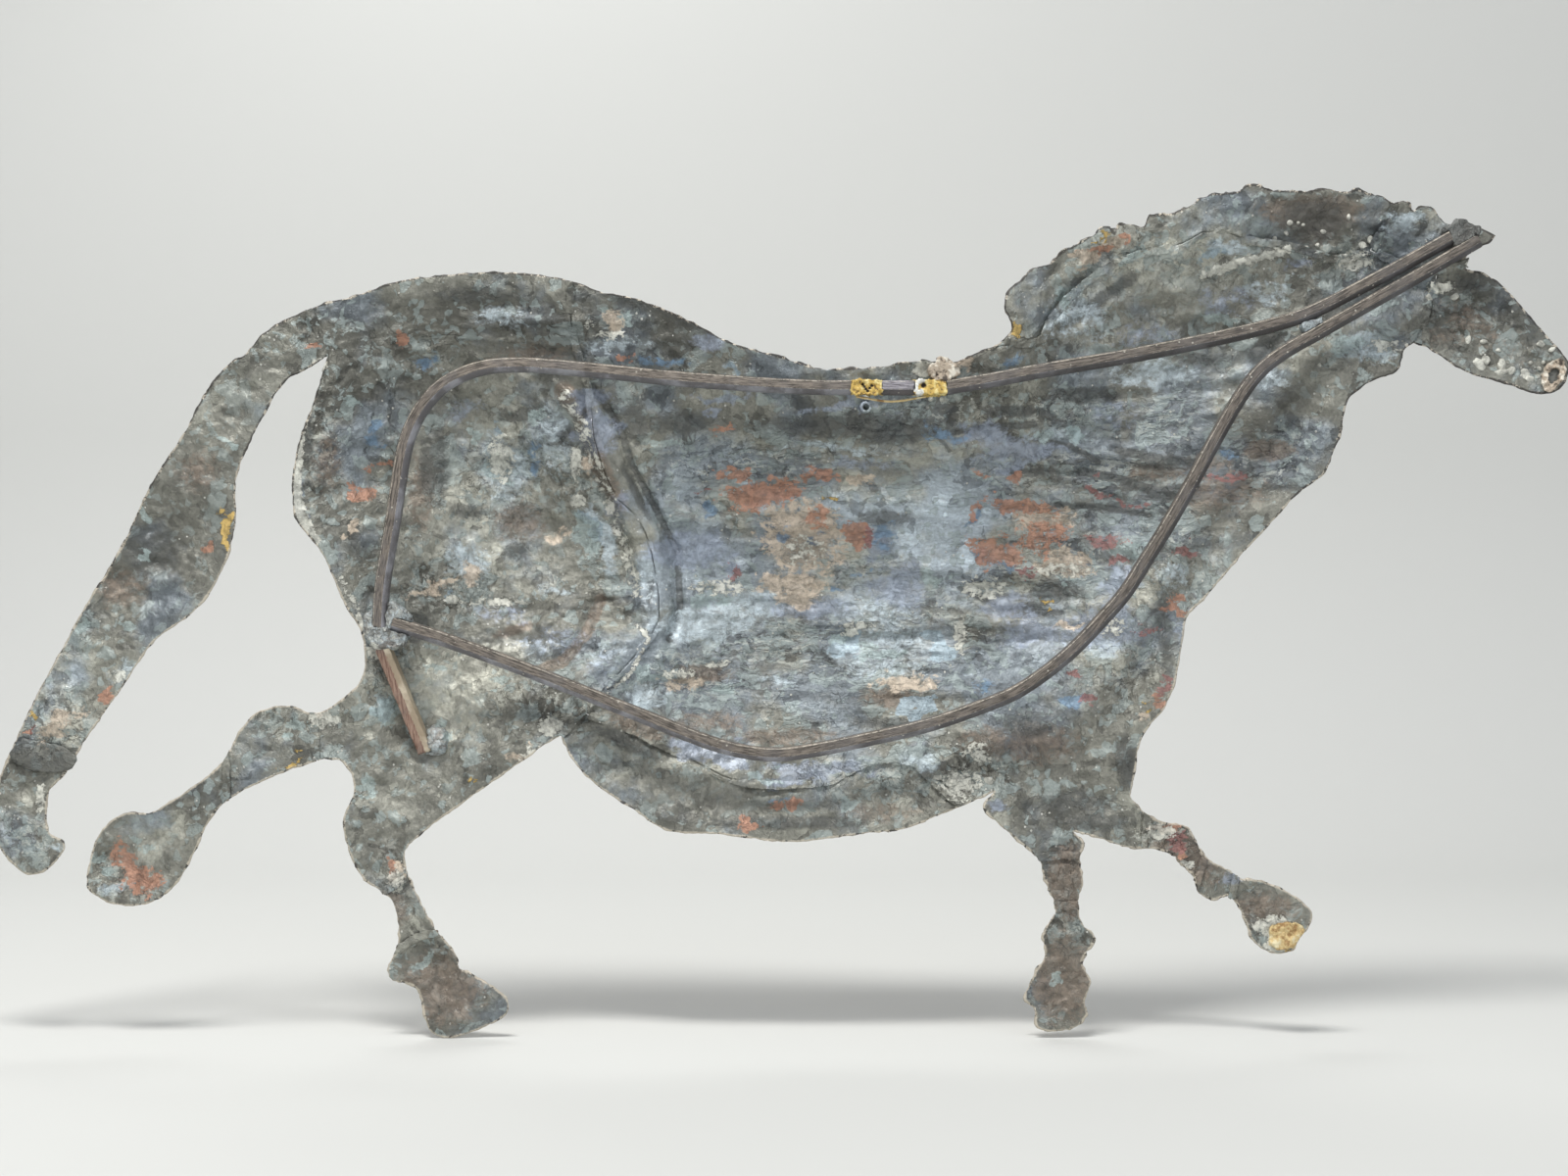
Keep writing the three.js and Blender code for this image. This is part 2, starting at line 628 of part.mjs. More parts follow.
const beadClearance = layer(skinOf, (column, row) => skinOf(column, row) + 2 * seatGap + beadHeight);
const beadRoom = beadClearance.intersect(laid.reduce((room, tool) => room.add(tool)));
weldLumps.forEach(({ name, atShares, radiusShares, lies }) => {
  const spot = place(atShares);
  const depth = lies === 'on sheet' ? skinAt(spot) : -barSide / 2;
  const radii = new THREE.Vector3(...radiusShares).multiplyScalar(barSide);
  const whole = lump(new THREE.Vector3(spot.x, depth, spot.y), radii).intersect(hollowSpace);
  const clear = whole.subtract(lies === 'beside bars' ? besideRoom : brazeRoom);
  add(name, largest(clear.subtract(beadRoom)), beadMetal);
});

// The brazing wire left hanging under the splice
const wireDrop = barSide / 2 + seatGap + wireDiameter / 2;
const wireStart = place([wireSpanShares[0], hangPlaceShares[1]]);
const wireEnd = place([wireSpanShares[1], hangPlaceShares[1]]);
const wireMiddle = wireStart.clone().lerp(wireEnd, 1 / 2);
const wirePath = new THREE.CatmullRomCurve3([
  new THREE.Vector3(wireStart.x, -barSide / 2, wireStart.y - wireDrop),
  new THREE.Vector3(wireMiddle.x, -barSide / 2, wireMiddle.y - wireDrop - wireSagShare * barSide),
  new THREE.Vector3(wireEnd.x, -barSide / 2, wireEnd.y - wireDrop),
]);
const wireSection = new THREE.Shape().absarc(0, 0, wireDiameter / 2, 0, 2 * Math.PI);
add('tie_wire', toSolid(new THREE.ExtrudeGeometry(wireSection, {
  steps: wireSteps,
  curveSegments: wireSides / 2,
  bevelEnabled: false,
  extrudePath: wirePath,
})), brassFill);

// The short tube brazed to the sheet below the splice
const ringSpot = place(sheetRingShares);
const ringFoot = skinAt(ringSpot);
const ringProfile = [
  [ringBore, -ringHeight], [ringDiameter, -ringHeight], [ringDiameter, ringHeight],
  [ringBore, ringHeight], [ringBore, -ringHeight],
].map(([diameter, height]) => new THREE.Vector2(diameter / 2, height));
const ringGeometry = new THREE.LatheGeometry(ringProfile, lumpSides);
ringGeometry.translate(ringSpot.x, ringFoot, ringSpot.y);
add('sheet_ring', largest(toSolid(ringGeometry).intersect(hollowSpace)), beadMetal);

export default horse;
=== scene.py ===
# %% [markdown]
# # A bronze horse for the wall, seen from behind
# The real object is a relief of a trotting horse. Its maker cut pieces of bronze sheet with a torch,
# hammered them hollow, brazed them edge to edge, and welded a frame of square bar behind them.
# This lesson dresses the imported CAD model: it keeps every piece where the CAD has it, and adds the
# hammer marks, the ragged cut edges, the lumpy braze metal and the mottled oxide colours.

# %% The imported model
import math

import bmesh
import bpy
import numpy as np
from mathutils import Matrix, Vector, bvhtree, kdtree, noise


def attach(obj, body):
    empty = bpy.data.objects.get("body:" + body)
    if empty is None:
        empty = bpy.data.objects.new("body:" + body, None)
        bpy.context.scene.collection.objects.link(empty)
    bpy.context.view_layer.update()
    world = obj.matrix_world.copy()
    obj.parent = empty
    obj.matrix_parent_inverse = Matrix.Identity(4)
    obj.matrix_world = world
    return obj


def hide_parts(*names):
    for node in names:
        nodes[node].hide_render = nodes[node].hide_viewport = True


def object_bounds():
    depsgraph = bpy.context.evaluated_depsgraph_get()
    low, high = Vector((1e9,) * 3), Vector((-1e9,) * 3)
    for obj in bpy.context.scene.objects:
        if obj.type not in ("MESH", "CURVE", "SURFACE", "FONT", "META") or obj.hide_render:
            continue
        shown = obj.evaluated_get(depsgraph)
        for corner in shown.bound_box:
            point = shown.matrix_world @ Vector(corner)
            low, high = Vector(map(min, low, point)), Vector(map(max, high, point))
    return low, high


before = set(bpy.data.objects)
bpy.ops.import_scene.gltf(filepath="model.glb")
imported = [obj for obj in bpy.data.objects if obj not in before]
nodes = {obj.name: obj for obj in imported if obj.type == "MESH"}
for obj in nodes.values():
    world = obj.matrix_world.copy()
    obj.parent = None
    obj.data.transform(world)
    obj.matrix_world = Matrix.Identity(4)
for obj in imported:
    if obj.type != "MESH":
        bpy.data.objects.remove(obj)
cad_low, cad_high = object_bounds()
print(f"{len(nodes)} CAD pieces, from {tuple(cad_low)} to {tuple(cad_high)}")

# %% [markdown]
# ## Places
# Every mark on the sculpture is placed where the photograph shows it. A place is given as pixels of
# the photograph, across and down, and two factors turn it into metres on the sculpture.

# %% From the photograph's pixels to metres
HORSE_LENGTH, LENGTH_IN_PIXELS = 1.067, 1615
HORSE_HEIGHT, HEIGHT_IN_PIXELS = 0.577, 874
ACROSS = HORSE_LENGTH / LENGTH_IN_PIXELS
DOWN = HORSE_HEIGHT / HEIGHT_IN_PIXELS
HANG = (916, 396)


def place(across, down, y=0.0):
    """A pixel of the photograph as a spot on the sculpture, in metres."""
    return Vector(((HANG[0] - across) * ACROSS, y, (HANG[1] - down) * DOWN))


print("the muzzle lies at", tuple(place(1600, 385)))

# %% [markdown]
# ## Colours, materials and meshes
# The photograph's colours are read on a scale of 0 to 255, but Blender mixes linear light, so
# each is converted once. A shader is a graph of small steps, and one helper adds a step and fills in
# its inputs, so that the materials below read like recipes.

# %% Helpers for colours, materials and meshes
def rgb(red, green, blue):
    """A colour as the eye names it, 0 to 255, turned into the linear values that Blender mixes."""
    values = [value / 255 for value in (red, green, blue)]
    linear = [v / 12.92 if v <= 0.04045 else ((v + 0.055) / 1.055) ** 2.4 for v in values]
    return (*linear, 1)


def new_material(name, colour):
    """A material, its node tree and its surface shader."""
    made = bpy.data.materials.new(name)
    made.use_nodes = True
    made.diffuse_color = colour
    return made, made.node_tree, made.node_tree.nodes["Principled BSDF"]


def fill_in(tree, node, values):
    """Fills in a node's inputs. An output of another node is linked, and the rest are fixed values."""
    for name, value in values.items():
        if isinstance(value, bpy.types.NodeSocket):
            tree.links.new(value, node.inputs[name])
        else:
            node.inputs[name].default_value = value


def add_node(tree, kind, values=None, **settings):
    made = tree.nodes.new(kind)
    for name, value in settings.items():
        setattr(made, name, value)
    fill_in(tree, made, values or {})
    return made


def mesh_object(name, bm, *materials):
    mesh = bpy.data.meshes.new(name)
    bm.to_mesh(mesh)
    bm.free()
    for item in materials:
        mesh.materials.append(item)
    made = bpy.data.objects.new(name, mesh)
    bpy.context.scene.collection.objects.link(made)
    mesh.shade_smooth()
    return made


print("mid grey mixes as", [round(value, 3) for value in rgb(128, 128, 128)])

# %% [markdown]
# ## Floor, light and camera
# The photograph was taken square on, from about 1.6 m. The camera stands behind the sculpture, on
# its wall side, because that is the side which the photograph shows. The room is a plain pale one:
# a floor that curves up into a backdrop, so that no line crosses the picture. Seen from outside, the
# backdrop is clear, so that it never hides the display side.

# %% A pale floor that curves up into a backdrop
FLOOR = -0.4388
ROOM_SIDE = 6
FLOOR_FROM, FLOOR_TO = 4.5, -0.9
CURVE_RADIUS = 0.5
CURVE_STEPS = 12
BACKDROP_TOP = 4.0

room_paint, tree, surface = new_material("room_paint", (0.9, 0.9, 0.9, 1))
fill_in(tree, surface, {"Base Color": rgb(209, 210, 207), "Roughness": 0.9, "Specular IOR Level": 0.1})
clear = add_node(tree, "ShaderNodeBsdfTransparent")
from_outside = add_node(tree, "ShaderNodeNewGeometry").outputs["Backfacing"]
either = add_node(tree, "ShaderNodeMixShader", {0: from_outside, 1: surface.outputs[0], 2: clear.outputs[0]})
fill_in(tree, tree.nodes["Material Output"], {"Surface": either.outputs[0]})

profile = [(FLOOR_FROM, FLOOR), (FLOOR_TO, FLOOR)]
for step in range(1, CURVE_STEPS + 1):
    turn = math.radians(90 * step / CURVE_STEPS)
    profile.append((FLOOR_TO - CURVE_RADIUS * math.sin(turn), FLOOR + CURVE_RADIUS * (1 - math.cos(turn))))
profile.append((FLOOR_TO - CURVE_RADIUS, BACKDROP_TOP))
room_mesh = bmesh.new()
corners = [room_mesh.verts.new((-ROOM_SIDE, y, z)) for y, z in profile]
edges = [room_mesh.edges.new(pair) for pair in zip(corners, corners[1:])]
swept = bmesh.ops.extrude_edge_only(room_mesh, edges=edges)["geom"]
moved = [item for item in swept if isinstance(item, bmesh.types.BMVert)]
bmesh.ops.translate(room_mesh, verts=moved, vec=(2 * ROOM_SIDE, 0, 0))
room_mesh.normal_update()
if sum(face.normal.y + face.normal.z for face in room_mesh.faces) < 0:
    bmesh.ops.reverse_faces(room_mesh, faces=room_mesh.faces)
room = mesh_object("pale_room", room_mesh, room_paint)
print("the floor lies at", FLOOR)

# %% Soft light from the upper left
scene = bpy.context.scene
scene.view_settings.view_transform = "Standard"
scene.world = bpy.data.worlds.new("soft_room")
scene.world.use_nodes = True
world_tree = scene.world.node_tree
fill_in(world_tree, world_tree.nodes["Background"], {"Color": (0.93, 0.95, 1.0, 1), "Strength": 0.52})
horse_middle = place(800, 560)


def lamp(name, at, size, watts, colour=(1, 1, 1)):
    """A flat rectangular lamp that is turned to the middle of the horse."""
    light = bpy.data.lights.new(name, "AREA")
    light.shape = "RECTANGLE"
    light.size, light.size_y = size
    light.energy = watts
    light.color = colour
    made = bpy.data.objects.new(name, light)
    made.location = at
    made.rotation_euler = (horse_middle - Vector(at)).to_track_quat("-Z", "Y").to_euler()
    scene.collection.objects.link(made)


lamp("key_light", (0.55, 0.95, 2.0), (1.0, 0.5), 55, (1.0, 0.985, 0.96))
lamp("fill_light", (-1.6, 2.2, 0.4), (1.6, 1.6), 9, (0.92, 0.96, 1.0))
lamp("display_light", (0.5, -1.2, 1.1), (1.4, 0.4), 7)

# %% The camera
PICTURE_WIDTH = 1600
CAMERA_AWAY = 1.6
CAMERA_SPOT = place(800, 600, y=1.59)
lens = bpy.data.cameras.new("camera")
lens.sensor_width = 36
lens.lens = lens.sensor_width * CAMERA_AWAY / (PICTURE_WIDTH * ACROSS)
camera = bpy.data.objects.new("camera", lens)
camera.location = CAMERA_SPOT
camera.rotation_euler = (math.radians(90), 0, math.radians(180))
scene.collection.objects.link(camera)
scene.camera = camera
print(f"lens {lens.lens:.1f} mm")

# %% [markdown]
# ## Maps of the sheet
# Hammer marks, creases and colour patches run over the seams from one sheet to the next. So they
# are worked out once, as maps over the whole horse, and every sheet reads the maps at its vertices.
# A map is a grid of numbers with a cell of 1.2 mm. Noise is made by blending random numbers on
# coarser and coarser lattices, and a wider lattice along the horse gives streaks.

# %% A grid over the horse
CELL = 0.0012
MARGIN = 0.02
map_x = np.arange(cad_low.x - MARGIN, cad_high.x + MARGIN, CELL)
map_z = np.arange(cad_low.z - MARGIN, cad_high.z + MARGIN, CELL)
grid_x, grid_z = np.meshgrid(map_x, map_z)
across_px = HANG[0] - grid_x / ACROSS
down_px = HANG[1] - grid_z / DOWN
chance = np.random.default_rng(11)


def read_map(values, xs, zs):
    """The map's value at each spot, blended between the four nearest cells."""
    u = np.clip((xs - map_x[0]) / CELL, 0, len(map_x) - 1.001)
    v = np.clip((zs - map_z[0]) / CELL, 0, len(map_z) - 1.001)
    i, j = u.astype(int), v.astype(int)
    a, b = u - i, v - j
    low = values[j, i] * (1 - a) + values[j, i + 1] * a
    high = values[j + 1, i] * (1 - a) + values[j + 1, i + 1] * a
    return low * (1 - b) + high * b


def soften(values, radius):
    """A Gaussian blur, with its radius in metres."""
    fz = np.fft.fftfreq(values.shape[0])[:, None]
    fx = np.fft.rfftfreq(values.shape[1])[None, :]
    damp = np.exp(-2 * (np.pi * radius / CELL) ** 2 * (fz ** 2 + fx ** 2))
    return np.fft.irfft2(np.fft.rfft2(values) * damp, s=values.shape)


def clouds(long, high, octaves=4, fade=0.5):
    """Soft noise with patches of that size in metres along the horse and up it, spread about 1."""
    total = np.zeros_like(grid_x)
    for octave in range(octaves):
        u = (map_x - map_x[0]) / long * 2 ** octave
        v = (map_z - map_z[0]) / high * 2 ** octave
        lattice = chance.normal(size=(int(v[-1]) + 3, int(u[-1]) + 3))
        i, j = u.astype(int), v.astype(int)
        a = (u - i) ** 2 * (3 - 2 * (u - i))
        b = ((v - j) ** 2 * (3 - 2 * (v - j)))[:, None]
        rows = lattice[:, i] * (1 - a) + lattice[:, i + 1] * a
        total += fade ** octave * (rows[j] * (1 - b) + rows[j + 1] * b)
    return total / total.std()


def cells(long, high):
    """Distance to the nearest of many scattered points, in cells of that size in metres."""
    u, v = (grid_x - map_x[0]) / long, (grid_z - map_z[0]) / high
    i, j = u.astype(int), v.astype(int)
    jitter = chance.random((j.max() + 4, i.max() + 4, 2))
    nearest = np.full_like(u, 9.0)
    for dj in (-1, 0, 1):
        for di in (-1, 0, 1):
            spot = jitter[j + dj + 1, i + di + 1]
            away = np.hypot(i + di + spot[..., 0] - u, j + dj + spot[..., 1] - v)
            nearest = np.minimum(nearest, away)
    return nearest


print("map of", grid_x.shape, "cells")

# %% [markdown]
# Single marks are laid on a map one by one: a dab is a soft oval, and a stroke follows a line.
# Both are 1 in the middle and fall to 0 at their edge.

# %% Dabs and strokes
def window(left, right, top, bottom):
    """The rows and columns of the map that show this part of the photograph."""
    columns = np.searchsorted(map_x, [(HANG[0] - right) * ACROSS, (HANG[0] - left) * ACROSS])
    rows = np.searchsorted(map_z, [(HANG[1] - bottom) * DOWN, (HANG[1] - top) * DOWN])
    return slice(*rows), slice(*columns)


def dab(at, reach, turn=0.0):
    """A soft oval with its middle, its reach across and down, and its turn in degrees."""
    cos, sin = math.cos(math.radians(turn)), math.sin(math.radians(turn))
    most = max(reach)
    area = window(at[0] - most, at[0] + most, at[1] - most, at[1] + most)
    right, down = across_px[area] - at[0], down_px[area] - at[1]
    u = (right * cos + down * sin) / reach[0]
    v = (down * cos - right * sin) / reach[1]
    return area, np.clip(1 - (u * u + v * v), 0, 1)


def stroke(points, width):
    """A soft band along a line of places, as wide to each side as given."""
    lefts, tops = zip(*points)
    area = window(min(lefts) - width, max(lefts) + width, min(tops) - width, max(tops) + width)
    right, down = across_px[area], down_px[area]
    nearest = np.full_like(right, 1e6)
    for (x0, y0), (x1, y1) in zip(points, points[1:]):
        run_x, run_y = x1 - x0, y1 - y0
        share = np.clip(((right - x0) * run_x + (down - y0) * run_y) / (run_x ** 2 + run_y ** 2), 0, 1)
        nearest = np.minimum(nearest, np.hypot(right - x0 - share * run_x, down - y0 - share * run_y))
    return area, np.clip(1 - (nearest / width) ** 2, 0, 1)


def painted(marks):
    """The strongest of many marks at each cell. A mark is (strength, dab or stroke)."""
    total = np.zeros_like(across_px)
    for strength, (area, mark) in marks:
        total[area] = np.maximum(total[area], strength * mark)
    return total


print("a dab covers", int((dab((800, 600), (20, 20))[1] > 0).sum()), "cells")

# %% [markdown]
# ## The hammered relief
# The big hollows come from the CAD sheets themselves: rays shot from the wall side read how deep
# each spot lies. On top come the marks that a hammer leaves. Rounded dents meet in soft ridges,
# which is what the distance to scattered points gives, and wide soft noise makes the sheet uneven.

# %% Reading the CAD relief
SHEETS = [
    "tail_panel", "tail_tip", "haunch_panel", "body_panel", "belly_panel", "far_hind_gaskin",
    "far_hind_cannon", "near_hind_cannon", "near_hind_hoof", "mane_panel", "forelock_piece",
    "head_panel", "standing_fore_shin", "standing_fore_hoof", "raised_fore_shin",
    "raised_fore_fetlock", "raised_fore_pastern", "raised_fore_hoof",
]
all_sheets = bmesh.new()
for name in SHEETS:
    all_sheets.from_mesh(nodes[name].data)
cad_sheets = bvhtree.BVHTree.FromBMesh(all_sheets)
all_sheets.free()
RAY_STEP = 3
WALL_SIDE = 0.05
NEAR_BLUR, WIDE_BLUR, LEAST_METAL = 0.005, 0.02, 0.02


def depth_at(x, z):
    """Where a ray from the wall side first meets the CAD sheets, or None beside them."""
    hit = cad_sheets.ray_cast((x, WALL_SIDE, z), (0, -1, 0))[0]
    return hit.y if hit else None


coarse = np.full(grid_x[::RAY_STEP, ::RAY_STEP].shape, np.nan)
for row in range(coarse.shape[0]):
    for column in range(coarse.shape[1]):
        depth = depth_at(map_x[column * RAY_STEP], map_z[row * RAY_STEP])
        if depth is not None:
            coarse[row, column] = depth
depths = np.repeat(np.repeat(coarse, RAY_STEP, 0), RAY_STEP, 1)
depths = np.roll(depths, (RAY_STEP // 2, RAY_STEP // 2), (0, 1))[:grid_x.shape[0], :grid_x.shape[1]]
metal = np.isfinite(depths).astype(float)
near, wide = soften(metal, NEAR_BLUR), soften(metal, WIDE_BLUR)
filled = np.nan_to_num(depths)
relief = np.where(near > LEAST_METAL, soften(filled, NEAR_BLUR) / np.maximum(near, LEAST_METAL),
                  soften(filled, WIDE_BLUR) / np.maximum(wide, LEAST_METAL))
print(f"deepest {relief.min() * 1000:.1f} mm, {metal.mean():.2f} of the grid is metal")

# %% Hammer dents, creases and pits
DENT, SMALL_DENT, DENT_LEVEL = 0.0017, 0.0007, 0.28
UNEVEN, SMALL_UNEVEN = 0.0015, 0.0008
STREAK, CREASE, FOLD, PIT = 0.0013, 0.0013, 0.0016, 0.0003
inland = np.clip((soften(metal, 0.006) - 0.5) * 2, 0, 1)
dent_gap = cells(0.021, 0.018)
small_dent_gap = cells(0.0085, 0.0075)
barrel = np.clip(painted([
    (1.6, dab((870, 600), (330, 210))), (1.2, dab((1200, 460), (170, 130))),
    (0.8, dab((520, 330), (200, 50))),
]), 0, 1)


def sharp_lines(values, sharpness):
    """1 along the lines where the noise passes zero, and 0 beside them."""
    return np.clip(1 - np.abs(values) * sharpness, 0, 1)


dents = DENT * (dent_gap ** 2 - DENT_LEVEL) + SMALL_DENT * (small_dent_gap ** 2 - DENT_LEVEL)
uneven = UNEVEN * clouds(0.05, 0.04) + SMALL_UNEVEN * clouds(0.014, 0.011)
streaky = STREAK * clouds(0.10, 0.012, octaves=4, fade=0.6)
creased = -CREASE * sharp_lines(clouds(0.12, 0.022, octaves=5, fade=0.55), 5)
creased -= FOLD * sharp_lines(clouds(0.05, 0.04, octaves=5, fade=0.6), 9) * (1 - barrel)
pitted = PIT * clouds(0.0045, 0.004, octaves=2)
lift = (dents + uneven) * (1 - 0.55 * barrel) + barrel * (streaky + creased) + pitted
lift *= inland
print(f"hammer marks of {lift.min() * 1000:.1f} to {lift.max() * 1000:.1f} mm")

# %% [markdown]
# ### Swages and folds
# The long ridges, grooves and folds weren't left by chance. Their maker drove them along a line with
# a blunt chisel, so each is a stroke of its own, where the photograph shows it.

# %% Swages and folds along their lines
SHALLOWEST = -0.0101
SWAGES = [
    # lift in metres, line in pixels, half width in pixels
    (0.0056, [(572, 392), (600, 420), (612, 455), (630, 500), (652, 545), (664, 590), (668, 632)], 19),
    (-0.0032, [(566, 380), (594, 398), (598, 420)], 8),
    (-0.0034, [(602, 392), (628, 430), (640, 470), (666, 520), (686, 560), (690, 620), (680, 655)], 7),
    (-0.0028, [(590, 400), (596, 440), (600, 470), (622, 520), (636, 560), (642, 600), (640, 628)], 7),
    (0.0018, [(640, 600), (655, 640), (640, 680), (612, 715)], 13),
    (-0.0022, [(606, 612), (590, 650), (566, 678), (548, 690)], 8),
    (0.0020, [(548, 640), (590, 610), (636, 604)], 6),
    (0.0030, [(452, 560), (475, 588)], 15),
    (-0.0030, [(860, 668), (905, 672), (968, 664)], 26),
    (0.0016, [(846, 690), (900, 708), (975, 700), (992, 668)], 9),
    (0.0022, [(1100, 452), (1150, 462), (1196, 470), (1226, 488)], 6),
    (0.0022, [(1075, 482), (1128, 494), (1150, 500), (1182, 512)], 5),
    (-0.0020, [(1142, 244), (1098, 290), (1072, 330), (1060, 352)], 9),
    (0.0018, [(1230, 278), (1262, 266), (1302, 254), (1330, 256)], 6),
    (0.0020, [(1440, 262), (1468, 284), (1490, 300), (1512, 296)], 8),
    (0.0016, [(1455, 300), (1478, 318), (1500, 330), (1526, 330)], 8),
    (0.0012, [(300, 365), (300, 440), (302, 500), (322, 550), (350, 600)], 12),
    (-0.0018, [(600, 770), (660, 790), (720, 812), (800, 822), (880, 806), (950, 792)], 18),
    (0.0016, [(1120, 560), (1180, 556), (1230, 548)], 14),
    (0.0014, [(1020, 780), (1080, 760), (1160, 744)], 12),
]
for rise, line, half_width in SWAGES:
    area, mark = stroke(line, half_width)
    lift[area] += rise * mark * inland[area]
sheet_level = np.minimum(relief + lift, SHALLOWEST)
print(f"the marks reach {lift.min() * 1000:.1f} to {lift.max() * 1000:.1f} mm")

# %% [markdown]
# ## Colour marks on the sheet
# Heat and flux left the colours: copper and tan where the torch stayed long, blue and violet round
# them, cream flux crusts beside the brazing, and pale or dark oxide. A colour photograph could be
# laid on the sheet, but a part that is lit and seen in other rooms needs its colours to be its own.
# So each finish has a map of dabs, listed one by one. The shader later breaks up their edges with noise.
# Some marks paint light and shade instead: a sky reflection under the lower bar, a sheen on the neck, a
# highlight on the rump's rear edge, and shade in grooves, between the bars and inside the muzzle ring.

# %% Copper, tan, brown and maroon
def dabs(*rows):
    """Marks from rows of (strength, across, down, reach across, reach down, turn)."""
    return [(row[0], dab(row[1:3], row[3:5], row[5] if len(row) > 5 else 0)) for row in rows]


finish = {}
finish["copper"] = painted(dabs(
    (1, 750, 476, 28, 9), (1, 775, 503, 50, 22, -8), (1, 838, 484, 34, 9), (0.9, 832, 529, 14, 12),
    (1, 872, 540, 20, 14, 20), (0.9, 1050, 516, 48, 8, 8), (1, 1022, 562, 36, 24, 15),
    (0.75, 1070, 546, 36, 22), (1, 1046, 481, 11, 10), (0.8, 1010, 478, 7, 5), (1, 1000, 519, 10, 10),
    (0.9, 1205, 618, 16, 8), (0.9, 381, 468, 10, 6), (1, 359, 500, 16, 13), (1, 403, 342, 10, 10),
    (1, 1147, 238, 9, 9), (0.9, 1120, 252, 20, 7, -20), (1, 134, 892, 34, 20, 20), (0.9, 808, 822, 20, 8),
    (0.9, 770, 846, 24, 6), (0.9, 318, 352, 15, 8, -20), (1, 108, 712, 8, 13, 25), (1, 28, 744, 7, 9),
    (0.9, 205, 557, 9, 9), (0.9, 1185, 715, 8, 6), (1, 1188, 852, 26, 9), (0.9, 1212, 870, 9, 8),
    (0.8, 735, 435, 14, 6), (0.7, 322, 728, 12, 6), (0.8, 400, 890, 8, 14), (0.7, 640, 365, 16, 5),
))
finish["tan"] = painted(dabs(
    (1, 815, 545, 58, 44), (1, 805, 597, 48, 22), (1, 813, 612, 11, 12), (1, 884, 486, 18, 9),
    (1, 1092, 577, 42, 18), (0.9, 1072, 530, 42, 16), (1, 625, 328, 19, 15), (0.9, 475, 584, 15, 11),
    (0.9, 350, 540, 6, 9), (0.9, 432, 602, 36, 9, -15), (1, 1135, 243, 26, 11, -25),
    (1, 1108, 262, 12, 12, -40), (0.8, 930, 700, 44, 14), (0.8, 408, 896, 12, 16),
    (0.8, 1100, 640, 20, 6), (0.8, 600, 470, 10, 20), (0.7, 560, 545, 24, 12), (0.9, 975, 374, 18, 8),
    (0.7, 60, 740, 34, 16, -30), (0.7, 1175, 727, 10, 6), (0.7, 700, 700, 30, 10),
    (0.8, 540, 772, 22, 12),
))
finish["brown"] = painted(dabs(
    (1, 1300, 458, 32, 15), (0.9, 519, 644, 30, 8, -18), (0.8, 915, 716, 50, 14, 5),
    (0.8, 716, 690, 40, 14), (0.7, 520, 530, 40, 30), (0.7, 1350, 225, 36, 26), (0.7, 1240, 470, 34, 12),
    (0.6, 1190, 480, 50, 14), (0.7, 650, 740, 60, 18, 25), (0.7, 800, 755, 80, 12),
    (0.7, 1010, 760, 40, 24), (0.6, 420, 500, 20, 60), (0.7, 1060, 760, 60, 30), (0.6, 120, 600, 40, 30),
    (0.6, 200, 480, 30, 30), (0.5, 900, 830, 60, 16), (0.5, 1505, 325, 50, 24, 40),
    (0.35, 1540, 352, 40, 20, 30), (0.4, 1480, 340, 40, 16), (0.6, 540, 360, 60, 18),
    (0.9, 1340, 214, 70, 22), (0.9, 1090, 900, 30, 50), (0.9, 1085, 1000, 40, 60),
    (0.8, 450, 1010, 60, 50), (0.8, 1210, 880, 60, 40), (0.7, 1290, 930, 50, 24),
    (0.6, 1250, 500, 60, 30), (0.6, 720, 740, 60, 16), (0.7, 400, 930, 24, 30), (0.6, 330, 470, 20, 40),
) + [
    (1, stroke([(608, 612), (594, 648), (572, 676), (545, 686)], 8)),
    (0.9, stroke([(572, 396), (592, 424), (606, 470), (626, 512)], 14)),
])
finish["maroon"] = painted(dabs(
    (1, 747, 584, 9, 9), (1, 1099, 697, 13, 6), (1, 1114, 722, 12, 9), (0.8, 1135, 552, 30, 12),
    (0.9, 1150, 572, 14, 9), (1, 1213, 560, 19, 8), (0.9, 886, 548, 9, 8), (0.9, 1256, 486, 24, 4),
    (0.9, 1052, 588, 17, 6, 30), (0.8, 1186, 700, 9, 18), (0.9, 30, 742, 6, 9), (0.9, 1204, 862, 15, 8),
    (0.8, 1184, 846, 12, 5), (0.8, 720, 497, 9, 5), (0.6, 1175, 640, 20, 5),
) + [(0.9, stroke([(1122, 492), (1150, 500), (1182, 511)], 5))])
print({name: round(float((values > 0.4).mean()), 4) for name, values in finish.items()})

# %% Blue, violet and pale oxide, with a painted reflection and a painted sheen
BLUE_SHARE = 0.9
finish["blue"] = painted(dabs(
    (1, 719, 516, 10, 10), (1, 792, 542, 10, 8), (1, 830, 547, 11, 9), (1, 905, 550, 16, 12),
    (1, 1006, 565, 20, 9, 20), (0.9, 1030, 581, 26, 7, 20), (0.8, 880, 577, 18, 6),
    (0.8, 855, 598, 13, 5), (0.9, 1001, 526, 6, 11), (1, 1100, 721, 22, 9), (0.8, 378, 440, 14, 22, 20),
    (0.7, 430, 370, 18, 12), (0.7, 675, 366, 46, 9), (0.8, 800, 816, 18, 7), (0.7, 965, 440, 36, 12),
    (0.7, 1034, 364, 18, 12), (0.6, 1264, 461, 12, 9), (0.6, 1010, 700, 16, 10), (0.6, 535, 458, 10, 16),
))
finish["blue"] *= BLUE_SHARE
